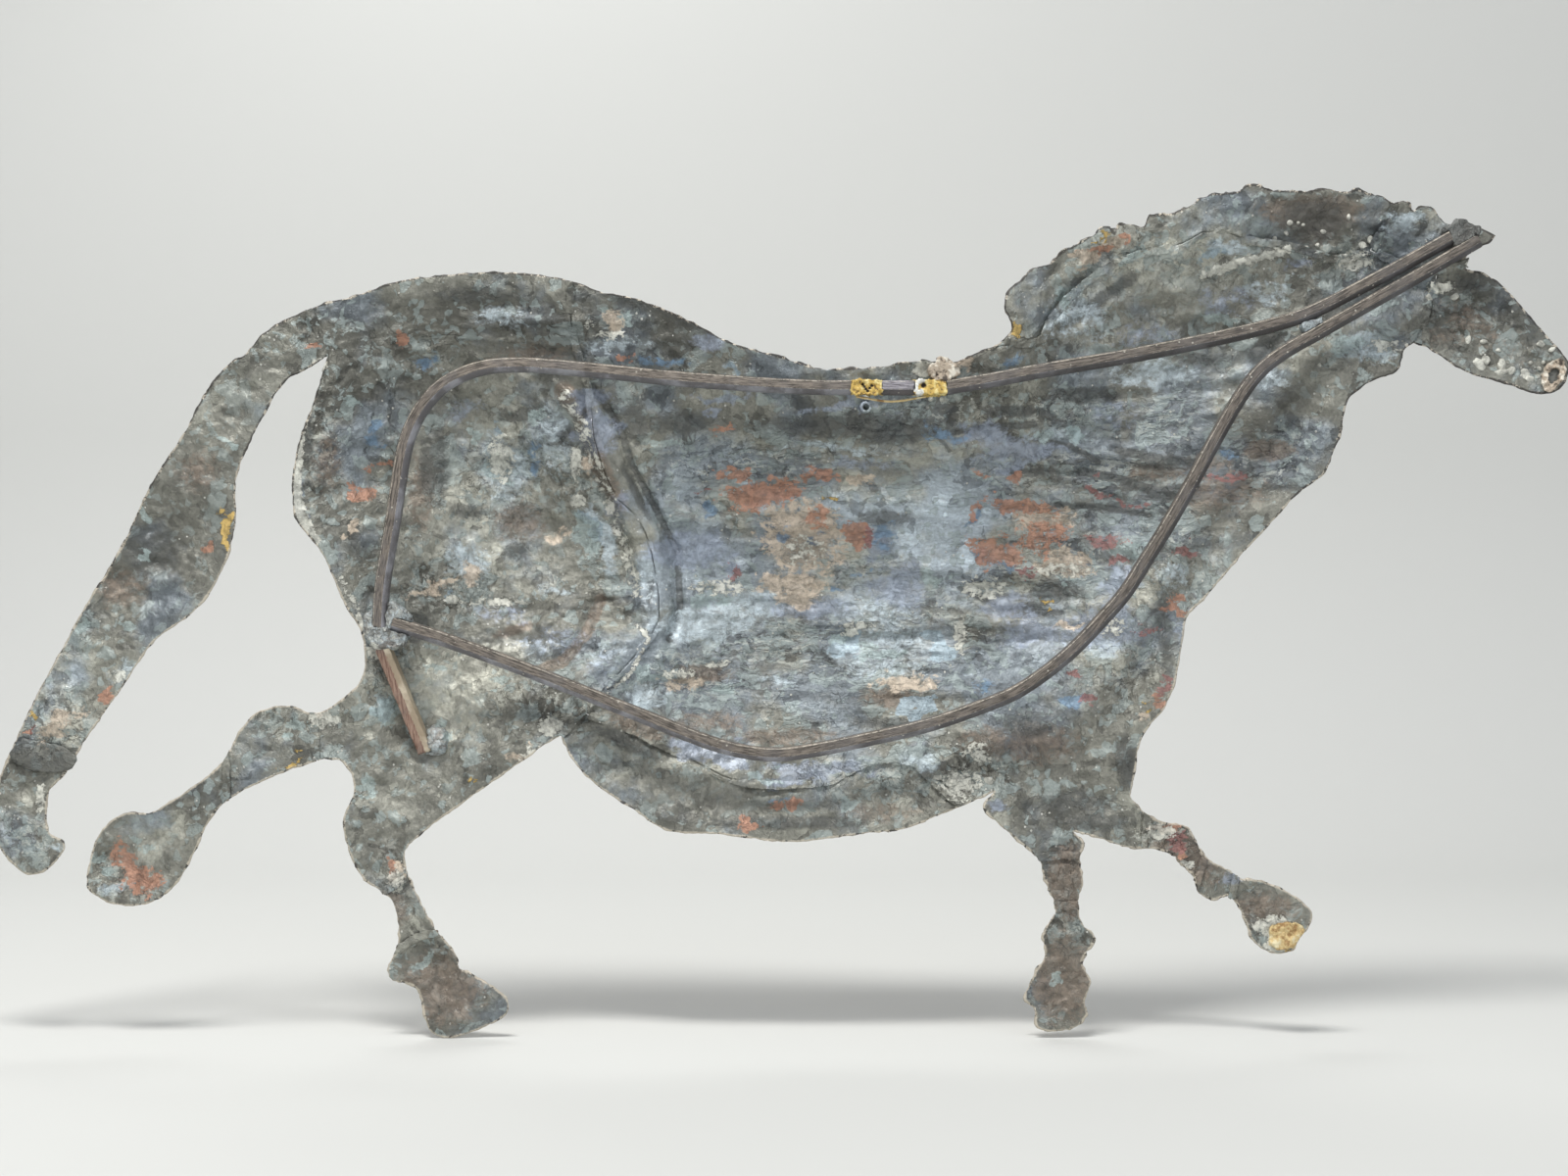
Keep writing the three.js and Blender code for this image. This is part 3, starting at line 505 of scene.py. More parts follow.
finish["violet"] = painted(dabs(
    # Under the lower bar, the dabs at (702, 768), (730, 770) and (830, 790) are a painted reflection of the
    # sky on the upturned sheet; the rest is heat tint.
    (0.9, 612, 440, 26, 30), (0.9, 735, 404, 44, 6), (0.9, 862, 413, 62, 7), (0.9, 700, 562, 60, 26),
    (0.9, 742, 581, 16, 8), (0.9, 898, 560, 24, 16), (0.8, 1062, 650, 44, 22), (0.8, 1030, 622, 34, 20),
    (0.7, 920, 600, 44, 30), (1, 702, 768, 32, 11, 12), (0.45, 1180, 340, 46, 22),
    (0.45, 1150, 420, 34, 20), (0.9, 1045, 460, 62, 14), (0.7, 1325, 268, 20, 10),
    (0.9, 720, 345, 22, 14), (0.8, 1112, 642, 28, 22), (0.8, 1150, 600, 20, 30, 30),
    (0.8, 1014, 820, 18, 12, 30), (0.9, 303, 508, 9, 30), (0.7, 630, 520, 16, 30),
    (0.6, 1260, 300, 40, 14), (0.45, 505, 625, 44, 14), (0.45, 560, 655, 50, 18), (0.4, 615, 680, 26, 24),
    (0.7, 1212, 640, 20, 20), (0.5, 470, 410, 30, 12), (0.7, 1262, 900, 16, 12), (0.6, 880, 470, 50, 8),
    (1.3, 730, 770, 50, 14, 14), (1.1, 830, 790, 70, 14), (1.0, 600, 408, 30, 20),
    (0.8, 1140, 640, 40, 30), (0.8, 820, 620, 60, 16), (0.8, 1010, 440, 60, 16),
))
finish["pale"] = painted(dabs(
    # The dab at (1262, 252) on the neck is a painted sheen; the rest is pale oxide.
    (0.5, 905, 684, 60, 12), (0.5, 910, 655, 70, 30), (0.8, 716, 636, 70, 24), (0.7, 760, 620, 56, 26),
    (0.3, 545, 662, 40, 14), (0.9, 612, 552, 14, 46, -18), (0.8, 600, 520, 10, 16),
    (0.8, 1104, 436, 12, 14), (0.7, 505, 480, 26, 40), (0.6, 660, 590, 20, 40), (0.6, 900, 620, 60, 20),
    (0.7, 1262, 252, 40, 11), (0.7, 1190, 380, 60, 16), (0.6, 1100, 320, 44, 26),
    (0.7, 1400, 350, 34, 18), (0.6, 1300, 380, 30, 16), (0.7, 1120, 660, 30, 16), (0.7, 800, 700, 40, 10),
    (0.6, 1085, 440, 50, 12), (0.45, 612, 668, 26, 16), (0.7, 500, 440, 20, 14), (0.6, 555, 600, 22, 10),
    (0.7, 470, 575, 40, 20), (0.6, 855, 455, 70, 8), (0.6, 1200, 590, 26, 20), (0.5, 130, 690, 24, 20),
    (0.7, 1428, 225, 24, 18), (0.6, 1300, 290, 30, 12), (0.5, 70, 860, 30, 14), (0.8, 665, 710, 30, 12),
    (0.6, 940, 780, 30, 10), (0.6, 500, 320, 40, 16), (0.6, 620, 350, 50, 10), (0.7, 115, 908, 18, 10),
    (0.7, 386, 720, 10, 12), (0.5, 560, 440, 30, 50), (0.7, 742, 372, 14, 8),
))
print({name: round(float((finish[name] > 0.4).mean()), 4) for name in ("blue", "violet", "pale")})

# %% [markdown]
# The ponds, the dark scale and the pale green chips have harder borders than the clouds of pale
# oxide. They come next, so that they lie over those clouds.
# A few marks of the dark map are painted shade: in the grooves beside the haunch ridge, in the gap and the
# wedge between the bars, and inside the muzzle ring.

# %% Ponds, dark scale with some painted shade, and green chips
finish["pond"] = painted(dabs(
    (1.2, 868, 664, 25, 13, -6), (1.2, 956, 657, 27, 21), (1.1, 935, 724, 30, 8, -10),
    (1.0, 1104, 436, 12, 10, 30), (1.0, 453, 612, 9, 5), (0.9, 596, 536, 11, 22, -15),
    (0.8, 500, 432, 13, 9, 20), (0.8, 390, 722, 12, 13), (0.8, 1240, 258, 22, 6, -12),
    (0.8, 742, 372, 14, 6),
))
finish["dark"] = painted(dabs(
    (0.9, 870, 432, 140, 15), (0.8, 690, 428, 60, 16), (0.9, 650, 304, 60, 14, 15),
    (0.8, 712, 330, 50, 12, 20), (1, 1037, 417, 46, 8), (1, 1118, 400, 48, 11), (0.9, 1345, 222, 46, 28),
    (0.9, 1352, 302, 18, 18), (0.9, 910, 444, 44, 10), (0.9, 905, 526, 40, 12), (0.8, 1088, 604, 38, 14),
    (0.9, 1062, 627, 44, 8), (0.8, 440, 470, 12, 56), (0.8, 645, 430, 18, 32), (0.8, 1060, 478, 60, 6),
    (0.9, 1200, 505, 50, 6), (0.8, 1200, 470, 46, 10), (0.9, 640, 760, 50, 12, 25),
    (0.8, 900, 740, 60, 8), (0.8, 800, 840, 120, 9), (0.8, 310, 440, 12, 50), (0.8, 1050, 740, 40, 20),
    (0.8, 1130, 300, 70, 10, -35), (0.7, 1480, 200, 40, 20), (0.8, 1510, 290, 28, 14),
    (0.7, 560, 380, 30, 14), (0.7, 150, 560, 40, 40), (0.7, 1380, 440, 16, 40), (0.7, 480, 300, 60, 12),
    (0.7, 1230, 700, 20, 40), (0.9, 645, 500, 6, 40, -25), (0.9, 660, 600, 6, 34),
    (0.9, 428, 470, 12, 46), (0.8, 548, 412, 26, 8, 35), (0.8, 575, 445, 16, 22), (0.8, 470, 520, 26, 12),
    (0.7, 520, 560, 20, 16), (0.8, 1150, 780, 14, 40), (0.9, 1120, 840, 50, 12), (0.8, 1190, 640, 12, 60),
    (0.8, 1100, 820, 60, 16), (0.7, 1240, 360, 40, 10), (0.8, 420, 640, 20, 20), (0.7, 530, 420, 50, 12),
    # In this row, (1, 1300, 350) is painted shade in the wedge between the two bars, and (1.6, 1586, 384) is
    # painted shade inside the muzzle ring.
    (0.9, 60, 768, 34, 13, 8), (1, 1300, 350, 16, 30, 35), (1.6, 1586, 384, 8, 11, 20),
) + [
    (1.0, stroke([(926, 648), (924, 664), (934, 680), (952, 686)], 3)),
    (1.0, stroke([(838, 668), (856, 682), (884, 684)], 3)),
    (1.1, stroke([(1085, 512), (1140, 516), (1180, 524)], 4)),
    (1.1, stroke([(1060, 444), (1100, 452), (1130, 468)], 4)),
    (1.1, stroke([(900, 436), (960, 440), (1010, 434), (1060, 430)], 5)),
    (1.0, stroke([(985, 600), (1030, 622), (1075, 616)], 4)),
    # Painted shade: the strokes from (590, 402) and from (602, 392) lie in the grooves beside the haunch
    # ridge, and the one from (1352, 324) to (1500, 243) lies in the narrow gap between the two bars.
    (0.8, stroke([(590, 402), (597, 440), (603, 472)], 5)),
    (2.2, stroke([(1352, 324), (1500, 243)], 8)),
    (1.4, stroke([(602, 392), (628, 430), (641, 470), (667, 520), (687, 560), (691, 620),
        (680, 655)], 4)),
    (1.2, stroke([(1112, 478), (1150, 486), (1190, 500), (1226, 494)], 6)),
    (1.0, stroke([(1150, 456), (1200, 466), (1235, 470)], 6)),
])
finish["celadon"] = painted(dabs(
    (1.6, 152, 522, 8, 14, 10), (1.5, 142, 566, 8, 9), (1.6, 88, 636, 7, 13, 20), (1.5, 124, 641, 9, 8),
    (1.4, 231, 452, 9, 16, -60), (1.5, 1104, 437, 12, 13, 20), (1.6, 393, 722, 13, 16, -30),
    (1.3, 617, 318, 9, 11), (1.4, 640, 326, 9, 8), (1.2, 470, 440, 16, 10, 40), (1.2, 500, 475, 14, 20),
    (1.1, 590, 545, 12, 22), (1.2, 860, 655, 16, 8), (1.1, 1160, 560, 26, 7), (1.1, 1100, 590, 20, 7),
    (1.2, 1070, 440, 12, 9), (1.1, 955, 585, 18, 9), (1.1, 720, 610, 26, 10), (1.2, 665, 695, 20, 9),
    (1.1, 740, 705, 18, 7), (1.2, 445, 745, 12, 9), (1.1, 300, 745, 14, 8), (1.2, 140, 860, 12, 8),
    (1.2, 100, 880, 8, 7), (1.1, 376, 800, 9, 12), (1.1, 435, 985, 10, 12), (1.1, 1095, 915, 7, 10),
    (1.1, 1078, 1000, 8, 10), (1.2, 1250, 315, 22, 8), (1.1, 1160, 260, 14, 8, -40),
    (1.1, 1085, 300, 9, 12), (1.0, 1380, 350, 20, 8), (1.1, 1215, 690, 10, 9), (1.0, 780, 790, 20, 6),
    (1.0, 870, 820, 14, 8), (1.1, 905, 668, 24, 8), (1.0, 1010, 480, 12, 6), (1.0, 680, 455, 20, 8),
    (1.1, 545, 420, 9, 14, 30), (1.0, 440, 680, 12, 10), (1.1, 350, 405, 9, 14), (1.0, 312, 620, 7, 10),
    (1.0, 505, 700, 14, 8),
))
print({name: round(float((finish[name] > 0.4).mean()), 4) for name in ("pond", "dark", "celadon")})

# %% [markdown]
# Cream flux stayed beside the brazing, and brass ran out of it. On the turned-up rear edge of the
# rump the cream is partly flux and partly a painted highlight of the light that edge catches. Two more
# maps lay no colour: crust breaks the oxide up where the torch worked longest, and smooth calms it.

# %% Cream flux with a painted highlight, brass, crust and smooth ground
finish["cream"] = painted(dabs(
    (0.9, 503, 465, 18, 30), (1, 583, 470, 8, 22), (1, 583, 508, 13, 8), (1, 453, 612, 10, 5),
    (0.8, 1385, 262, 26, 12), (1, 960, 374, 18, 8), (0.8, 980, 802, 28, 20), (0.9, 548, 772, 24, 12),
    (1, 382, 664, 12, 10), (0.8, 500, 615, 50, 5), (0.8, 870, 648, 12, 5), (0.8, 985, 650, 8, 24),
    (0.7, 1010, 600, 30, 16), (0.7, 735, 600, 40, 10), (0.8, 1478, 290, 20, 8), (1.8, 1502, 268, 5, 4),
    (1.5, 955, 376, 30, 9), (1.2, 560, 742, 16, 12), (1.0, 1185, 850, 20, 10), (1.0, 1212, 884, 12, 6),
    (1.0, 404, 900, 12, 14), (0.9, 1300, 945, 24, 14), (1.4, 1306, 966, 20, 6), (0.7, 620, 340, 20, 6),
    (0.8, 330, 735, 18, 14), (0.8, 1310, 955, 24, 18), (0.7, 120, 690, 10, 8), (0.7, 40, 815, 8, 20),
    (0.7, 1095, 580, 34, 10), (0.6, 820, 560, 30, 20), (0.8, 690, 690, 26, 6), (0.8, 730, 680, 20, 5),
    (0.7, 1000, 770, 20, 14), (0.6, 1420, 350, 26, 10), (0.7, 600, 330, 8, 6), (0.6, 880, 640, 30, 5),
    (0.6, 1140, 640, 14, 16, 30),
) + [
    (0.5, stroke([(572, 400), (588, 425), (598, 455), (612, 492), (626, 532), (639, 576),
        (646, 604)], 9)),
    (0.9, stroke([(1234, 277), (1262, 266), (1318, 252)], 6)),
    # Along the turned-up rear edge of the rump: cream flux, and a painted highlight of the light it catches.
    (1.6, stroke([(325, 372), (310, 402), (302, 440), (299, 500), (304, 528), (318, 552)], 9)),
    (0.7, stroke([(648, 640), (660, 652), (640, 690), (612, 712)], 3)),
    (0.7, stroke([(345, 590), (362, 620), (370, 650)], 4)),
])
finish["brass"] = painted(dabs(
    (1, 1036, 340, 10, 9), (1, 234, 545, 8, 32), (1, 29, 727, 6, 9), (0.8, 852, 500, 20, 3, 8),
    (0.8, 1076, 622, 18, 4), (0.9, 1312, 957, 22, 15), (0.8, 1120, 238, 22, 6, -25),
    (0.7, 1178, 722, 8, 5), (0.8, 300, 775, 20, 3, -20), (0.7, 480, 795, 14, 3, -40),
))
finish["crust"] = painted(dabs(
    (0.9, 505, 470, 60, 70), (0.8, 590, 470, 40, 90), (0.9, 620, 560, 40, 60), (0.8, 450, 600, 60, 40),
    (0.9, 700, 690, 90, 36), (0.9, 820, 660, 120, 40), (0.9, 960, 640, 80, 60), (0.9, 900, 590, 60, 30),
    (0.9, 1040, 600, 80, 40), (0.8, 1100, 560, 80, 60), (0.9, 1110, 480, 120, 30),
    (0.8, 760, 470, 120, 30), (0.8, 950, 420, 120, 30), (0.8, 1080, 420, 100, 30),
    (0.9, 1000, 790, 60, 40), (0.7, 900, 800, 120, 30), (0.8, 1240, 280, 90, 30),
    (0.8, 1380, 260, 60, 30), (0.3, 1500, 330, 70, 50), (0.4, 1575, 375, 24, 24), (0.8, 560, 720, 80, 40),
    (0.8, 300, 730, 60, 30), (0.8, 390, 680, 30, 40), (0.7, 400, 900, 30, 50), (0.9, 60, 740, 60, 50),
    (0.8, 30, 860, 40, 50), (0.8, 320, 460, 30, 110), (0.8, 120, 900, 60, 40), (0.9, 1190, 860, 60, 30),
    (0.8, 1290, 950, 50, 40), (0.7, 1150, 680, 60, 60), (0.8, 1200, 560, 60, 60), (0.9, 960, 375, 40, 16),
    (0.8, 1140, 250, 60, 30), (0.7, 1090, 930, 30, 100), (0.7, 450, 1010, 60, 40),
    (0.8, 1300, 470, 60, 50), (0.7, 620, 330, 60, 30), (0.6, 420, 350, 60, 30), (0.6, 1200, 420, 60, 40),
))
finish["smooth"] = painted(dabs(
    (0.9, 520, 655, 60, 28), (1, 868, 664, 36, 20), (1, 956, 657, 36, 28), (0.8, 700, 562, 70, 30),
    (0.8, 1062, 650, 50, 30), (0.7, 1030, 622, 40, 24), (0.7, 1230, 300, 120, 30),
    (0.7, 1290, 395, 80, 40), (0.5, 160, 540, 90, 150), (0.6, 140, 860, 60, 40), (0.7, 740, 815, 120, 26),
    (0.8, 760, 775, 90, 20), (0.6, 450, 720, 60, 40), (0.6, 600, 420, 20, 30), (0.5, 1330, 230, 80, 26),
    (0.8, 668, 340, 84, 26), (0.7, 905, 600, 50, 26), (0.7, 690, 640, 60, 30), (0.5, 480, 430, 40, 30),
    (0.6, 1180, 380, 60, 26), (0.15, 1290, 480, 60, 50), (0.6, 640, 320, 60, 22), (0.6, 850, 380, 90, 14),
    (0.7, 1060, 310, 26, 50), (0.6, 260, 420, 50, 70), (0.5, 1090, 990, 30, 60), (0.6, 460, 1010, 50, 40),
    (0.7, 1100, 440, 60, 16), (0.5, 860, 620, 80, 16), (0.6, 560, 545, 30, 30),
) + [
    (1.3, stroke([(574, 392), (602, 420), (614, 455), (632, 500), (654, 545), (666, 590), (670, 640),
        (644, 680)], 17)),
])
print({name: round(float((finish[name] > 0.4).mean()), 4) for name in ("cream", "brass", "crust", "smooth")})

# %% [markdown]
# The whole sheet also has lighter and darker quarters. Their values copy how light each region of the
# real sheet looks when lit from above, so they are partly the metal's own tone and partly painted light
# and shade: darker under the top bar, lighter on the lower barrel. The tone map multiplies the
# oxide's lightness, so 1 leaves it as it is.

# %% Lighter and darker quarters, partly painted light and shade
tone_and_shade_map = np.ones_like(across_px)
for amount, area_and_mark in dabs(
    (0.5, 505, 510, 130, 150), (0.42, 700, 560, 120, 160), (0.9, 940, 540, 190, 120),
    (0.12, 850, 670, 220, 90), (0.35, 1130, 640, 120, 120), (0.9, 70, 720, 80, 80, -30),
    (0.8, 450, 720, 110, 70), (0.1, 290, 760, 100, 50), (0.5, 140, 870, 90, 60), (0.2, 790, 810, 180, 50),
    (-0.2, 400, 870, 60, 60), (-0.25, 1200, 860, 70, 50), (-0.2, 1090, 860, 50, 50),
    (-0.15, 1120, 800, 80, 40), (0.45, 1180, 290, 140, 60), (-0.3, 360, 380, 90, 110),
    (-0.5, 660, 330, 130, 50), (-0.3, 470, 320, 170, 40), (-0.2, 180, 800, 60, 40),
    (-0.15, 880, 690, 160, 40), (-0.25, 830, 435, 200, 34), (-0.22, 1050, 410, 120, 40),
    (-0.3, 1280, 470, 90, 80), (-0.1, 190, 500, 110, 140), (-0.42, 1090, 930, 60, 130),
    (-0.25, 460, 1010, 80, 60), (-0.48, 1525, 320, 110, 90), (0.35, 1470, 270, 40, 24),
    (0.45, 1200, 250, 130, 50), (-0.2, 1370, 220, 80, 40), (-0.3, 60, 775, 50, 24),
    (-0.2, 700, 740, 120, 30), (-0.3, 1290, 940, 60, 50), (0.3, 650, 590, 30, 70),
    (-0.25, 320, 500, 50, 100), (-0.3, 430, 620, 40, 60), (0.3, 960, 657, 50, 36),
    (-0.3, 1060, 740, 60, 40), (-0.3, 900, 720, 80, 20), (0.25, 900, 540, 160, 110),
    (0.15, 710, 540, 80, 110), (-0.22, 290, 770, 60, 40), (-0.2, 365, 385, 60, 70),
    (0.1, 505, 510, 80, 100), (-0.12, 160, 560, 80, 100), (-0.15, 680, 345, 80, 30),
    (-0.15, 120, 880, 60, 40),
):
    area, mark = area_and_mark
    tone_and_shade_map[area] += amount * mark ** 1.5
print(f"tones from {tone_and_shade_map.min():.2f} to {tone_and_shade_map.max():.2f}")

# %% [markdown]
# ## The ragged cut edge
# The torch left a wandering, beaded edge. The CAD outline is drawn with short straight runs, so the
# sheets' cut edges are moved onto a finer curve through the same places, and then roughened.

# %% The outline's places, in pixels
OUTLINE = [
    [(280, 331), (320, 312), (358, 301), (410, 285), (470, 278), (520, 277), (580, 285), (615, 297),
     (650, 304), (700, 325), (745, 348), (800, 364), (835, 374), (885, 374), (945, 366), (965, 370),
     (1005, 356), (1020, 350)],
    [(1020, 350), (1033, 334), (1025, 313), (1029, 296), (1042, 285), (1055, 272), (1070, 268), (1084, 256),
     (1098, 249), (1113, 240), (1126, 230), (1133, 231), (1138, 237), (1142, 228), (1152, 226), (1168, 229),
     (1172, 219), (1182, 218), (1200, 216), (1214, 208), (1232, 198), (1250, 196), (1262, 195), (1272, 189),
     (1282, 187), (1296, 192), (1320, 194), (1340, 193), (1358, 191), (1375, 195), (1386, 192), (1398, 196),
     (1412, 198), (1424, 207), (1431, 203), (1439, 205), (1443, 213), (1450, 210), (1461, 209), (1470, 218),
     (1476, 225), (1490, 228), (1500, 231), (1510, 232), (1526, 240)],
    [(1526, 240), (1520, 247), (1506, 254), (1497, 262), (1499, 272), (1510, 275), (1517, 277), (1535, 290),
     (1560, 318), (1585, 347), (1602, 370), (1600, 385), (1592, 396), (1580, 401), (1563, 400), (1540, 391),
     (1500, 380), (1480, 368), (1460, 354), (1447, 348)],
    [(1447, 348), (1437, 355), (1427, 378), (1400, 389), (1377, 408), (1369, 443), (1352, 483), (1325, 504),
     (1300, 532), (1268, 566), (1230, 611), (1213, 629), (1208, 658), (1200, 697), (1190, 723), (1168, 750),
     (1159, 790), (1155, 813)],
    [(1155, 813), (1172, 832), (1188, 840), (1212, 843), (1220, 855), (1232, 876), (1258, 890), (1267, 897),
     (1290, 900), (1325, 917), (1340, 933), (1329, 957), (1318, 972), (1297, 973), (1280, 962), (1271, 940),
     (1257, 916), (1236, 919), (1222, 910), (1222, 898), (1208, 885), (1195, 872), (1175, 867), (1150, 866),
     (1118, 855), (1097, 850)],
    [(1097, 850), (1106, 860), (1102, 877), (1106, 898), (1101, 925), (1105, 942), (1117, 955), (1113, 968),
     (1105, 982), (1114, 1003), (1108, 1024), (1110, 1035), (1100, 1049), (1067, 1053), (1057, 1047),
     (1057, 1033), (1046, 1020), (1056, 995), (1067, 975), (1064, 955), (1077, 928), (1070, 910), (1058, 876),
     (1037, 857), (1004, 824), (1015, 809)],
    [(1015, 809), (993, 819), (965, 830), (925, 846), (870, 853), (805, 860), (735, 852), (680, 848),
     (645, 826), (600, 795), (579, 768), (572, 750)],
    [(572, 750), (540, 772), (490, 807), (433, 849), (413, 870), (417, 894), (426, 914), (445, 949),
     (466, 977), (468, 988), (482, 996), (495, 1003), (518, 1022), (517, 1035), (490, 1051), (455, 1060),
     (438, 1053), (424, 1010), (411, 1004), (397, 1001), (395, 988), (404, 968), (406, 955), (397, 918),
     (370, 897), (354, 865), (350, 835), (360, 805), (348, 778), (330, 775)],
    [(330, 775), (295, 786), (240, 812), (217, 832), (196, 873), (177, 905), (150, 923), (115, 924),
     (89, 908), (88, 885), (100, 850), (125, 831), (150, 830), (190, 807), (225, 779), (243, 747), (262, 727),
     (293, 720), (320, 728), (350, 712), (368, 690), (368, 650), (350, 617), (325, 562), (301, 530),
     (297, 505), (303, 455), (318, 410), (333, 362)],
    [(333, 362), (310, 377), (290, 389), (262, 436), (243, 478), (239, 500), (240, 530), (228, 577),
     (200, 621), (155, 656), (125, 700), (90, 750), (65, 790), (49, 810), (50, 850), (66, 861), (50, 886),
     (28, 893), (0, 868), (-12, 835), (-3, 797), (17, 750), (50, 683), (80, 628), (125, 551), (150, 499),
     (185, 443), (212, 395), (238, 366), (247, 363), (262, 345), (280, 331)],
]
print(len(OUTLINE), "stretches, from one sharp corner to the next")

# %% A smooth line through a row of places
CURVE_POINTS = 24


def smooth_line(points, step):
    """Even steps along a smooth curve through the places, in metres."""
    knots = [place(*point) for point in points]
    knots = [2 * knots[0] - knots[1], *knots, 2 * knots[-1] - knots[-2]]
    dense = []
    for a, b, c, d in zip(knots, knots[1:], knots[2:], knots[3:]):
        t1, t2, t3 = (math.sqrt((q - p).length) for p, q in ((a, b), (b, c), (c, d)))
        into = (b - a) / t1 - (c - a) / (t1 + t2) + (c - b) / t2
        out = (c - b) / t2 - (d - b) / (t2 + t3) + (d - c) / t3
        for index in range(CURVE_POINTS):
            s = index / CURVE_POINTS
            dense.append(b * (2 * s ** 3 - 3 * s ** 2 + 1) + c * (3 * s ** 2 - 2 * s ** 3)
                         + into * t2 * (s ** 3 - 2 * s ** 2 + s) + out * t2 * (s ** 3 - s ** 2))
    dense.append(knots[-2])
    lengths = np.cumsum([0] + [(q - p).length for p, q in zip(dense, dense[1:])])
    wanted = np.linspace(0, lengths[-1], max(2, round(lengths[-1] / step) + 1))
    xs = np.interp(wanted, lengths, [spot.x for spot in dense])
    zs = np.interp(wanted, lengths, [spot.z for spot in dense])
    return [Vector((x, 0, z)) for x, z in zip(xs, zs)]


print(len(smooth_line(OUTLINE[0], 0.01)), "places, 10 mm apart, along the back")

# %% [markdown]
# The fine edge has a place every half millimetre. How far the torch wandered off it comes from
# noise, and it wandered more at the mane, at the legs and on the back than elsewhere.

# %% The fine cut edge, and how ragged it is
EDGE_STEP = 0.0005
RAGGED = 0.00045
MOST_IN, MOST_OUT = -0.0010, 0.0013
cut_edge = [spot for stretch in OUTLINE for spot in smooth_line(stretch, EDGE_STEP)]
edge_tree = kdtree.KDTree(len(cut_edge))
for index, spot in enumerate(cut_edge):
    edge_tree.insert(spot, index)
edge_tree.balance()
ragged = RAGGED * clouds(0.006, 0.006, octaves=3, fade=0.7)
ragged *= 0.7 + painted([(1.4, dab((1250, 230), (300, 90))), (1.0, dab((1100, 950), (300, 160))),
                         (0.9, dab((420, 960), (120, 120))), (0.9, dab((900, 370), (160, 30)))])
ragged = np.clip(ragged, MOST_IN, MOST_OUT)
print(f"{len(cut_edge)} places along {len(cut_edge) * EDGE_STEP:.2f} m of cut edge")

# %% [markdown]
# ## Shader steps
# Some steps of the shaders come again and again: sums, mixes, noise and masks. Each has a short
# helper that returns its output. Steps that several materials share become node groups.

# %% Sums, mixes and masks
def reckon(tree, operation, first_value, second_value=0.0, clamp=False):
    return add_node(tree, "ShaderNodeMath", {0: first_value, 1: second_value},
                    operation=operation, use_clamp=clamp).outputs[0]


def plus(tree, first_value, second_value):
    return reckon(tree, "ADD", first_value, second_value)


def minus(tree, first_value, second_value):
    return reckon(tree, "SUBTRACT", first_value, second_value)


def times(tree, first_value, second_value):
    return reckon(tree, "MULTIPLY", first_value, second_value)


def mix_colour(tree, factor, under, over):
    return add_node(tree, "ShaderNodeMix", {0: factor, 6: under, 7: over}, data_type="RGBA").outputs[2]


def lay_over(tree, colour, where, strength, tint):
    """The tint laid over the colour where the mask says, and as strongly as given."""
    return mix_colour(tree, times(tree, where, strength), colour, tint)


def mix_value(tree, factor, under, over):
    return add_node(tree, "ShaderNodeMix", {0: factor, 2: under, 3: over}).outputs[0]


def ramp_between(tree, value, low, high):
    """0 below low and 1 above high, with a smooth step between."""
    return add_node(tree, "ShaderNodeMapRange", {"Value": value, "From Min": low, "From Max": high},
                    interpolation_type="SMOOTHSTEP").outputs[0]


def light_range(tree, noise_value, darkest, brightest):
    """A factor for the colour, from the noise: its lows give the darkest and its highs the brightest."""
    return add_node(tree, "ShaderNodeMapRange", {
        "Value": noise_value, "From Min": 0.3, "From Max": 0.7,
        "To Min": darkest, "To Max": brightest}).outputs[0]


print("helpers for sums and mixes are ready")

# %% Places, noise, specks and bumps
def object_places(tree):
    return add_node(tree, "ShaderNodeTexCoord").outputs["Object"]


def mask(tree, name):
    """What the mesh carries at each vertex under this name."""
    return add_node(tree, "ShaderNodeAttribute", attribute_name=name).outputs["Fac"]


def vector_step(tree, operation, first_vector, second_vector):
    return add_node(tree, "ShaderNodeVectorMath", {0: first_vector, 1: second_vector},
                    operation=operation).outputs[0]


def cloudy(tree, vector, scale, detail=6.0, roughness=0.55, distortion=0.0, output=0):
    return add_node(tree, "ShaderNodeTexNoise", {
        "Vector": vector, "Scale": scale, "Detail": detail, "Roughness": roughness,
        "Distortion": distortion}).outputs[output]


def random_cells(tree, vector, scale, channel):
    """Each cell of a Voronoi pattern has a random value. Returns it, and the distance to the middle."""
    pattern = add_node(tree, "ShaderNodeTexVoronoi", {"Vector": vector, "Scale": scale})
    drawn = add_node(tree, "ShaderNodeSeparateColor", {"Color": pattern.outputs["Color"]})
    return drawn.outputs[channel], pattern.outputs["Distance"]


def specks(tree, vector, scale, size, channel, luck):
    """Small round dots in the few cells that draw more than the luck."""
    drawn, middle = random_cells(tree, vector, scale, channel)
    return times(tree, ramp_between(tree, middle, size, size - 0.09), ramp_between(tree, drawn, 0.9, luck))


def bumps(tree, height, strength, distance):
    return add_node(tree, "ShaderNodeBump", {
        "Height": height, "Strength": strength, "Distance": distance}).outputs[0]


def new_group(name, inputs, outputs):
    group = bpy.data.node_groups.new(name, "ShaderNodeTree")
    for label, kind in inputs:
        group.interface.new_socket(label, in_out="INPUT", socket_type="NodeSocket" + kind)
    for label, kind in outputs:
        group.interface.new_socket(label, in_out="OUTPUT", socket_type="NodeSocket" + kind)
    given = group.nodes.new("NodeGroupInput").outputs
    result = group.nodes.new("NodeGroupOutput")
    return group, given, result


print("helpers for noise and specks are ready")

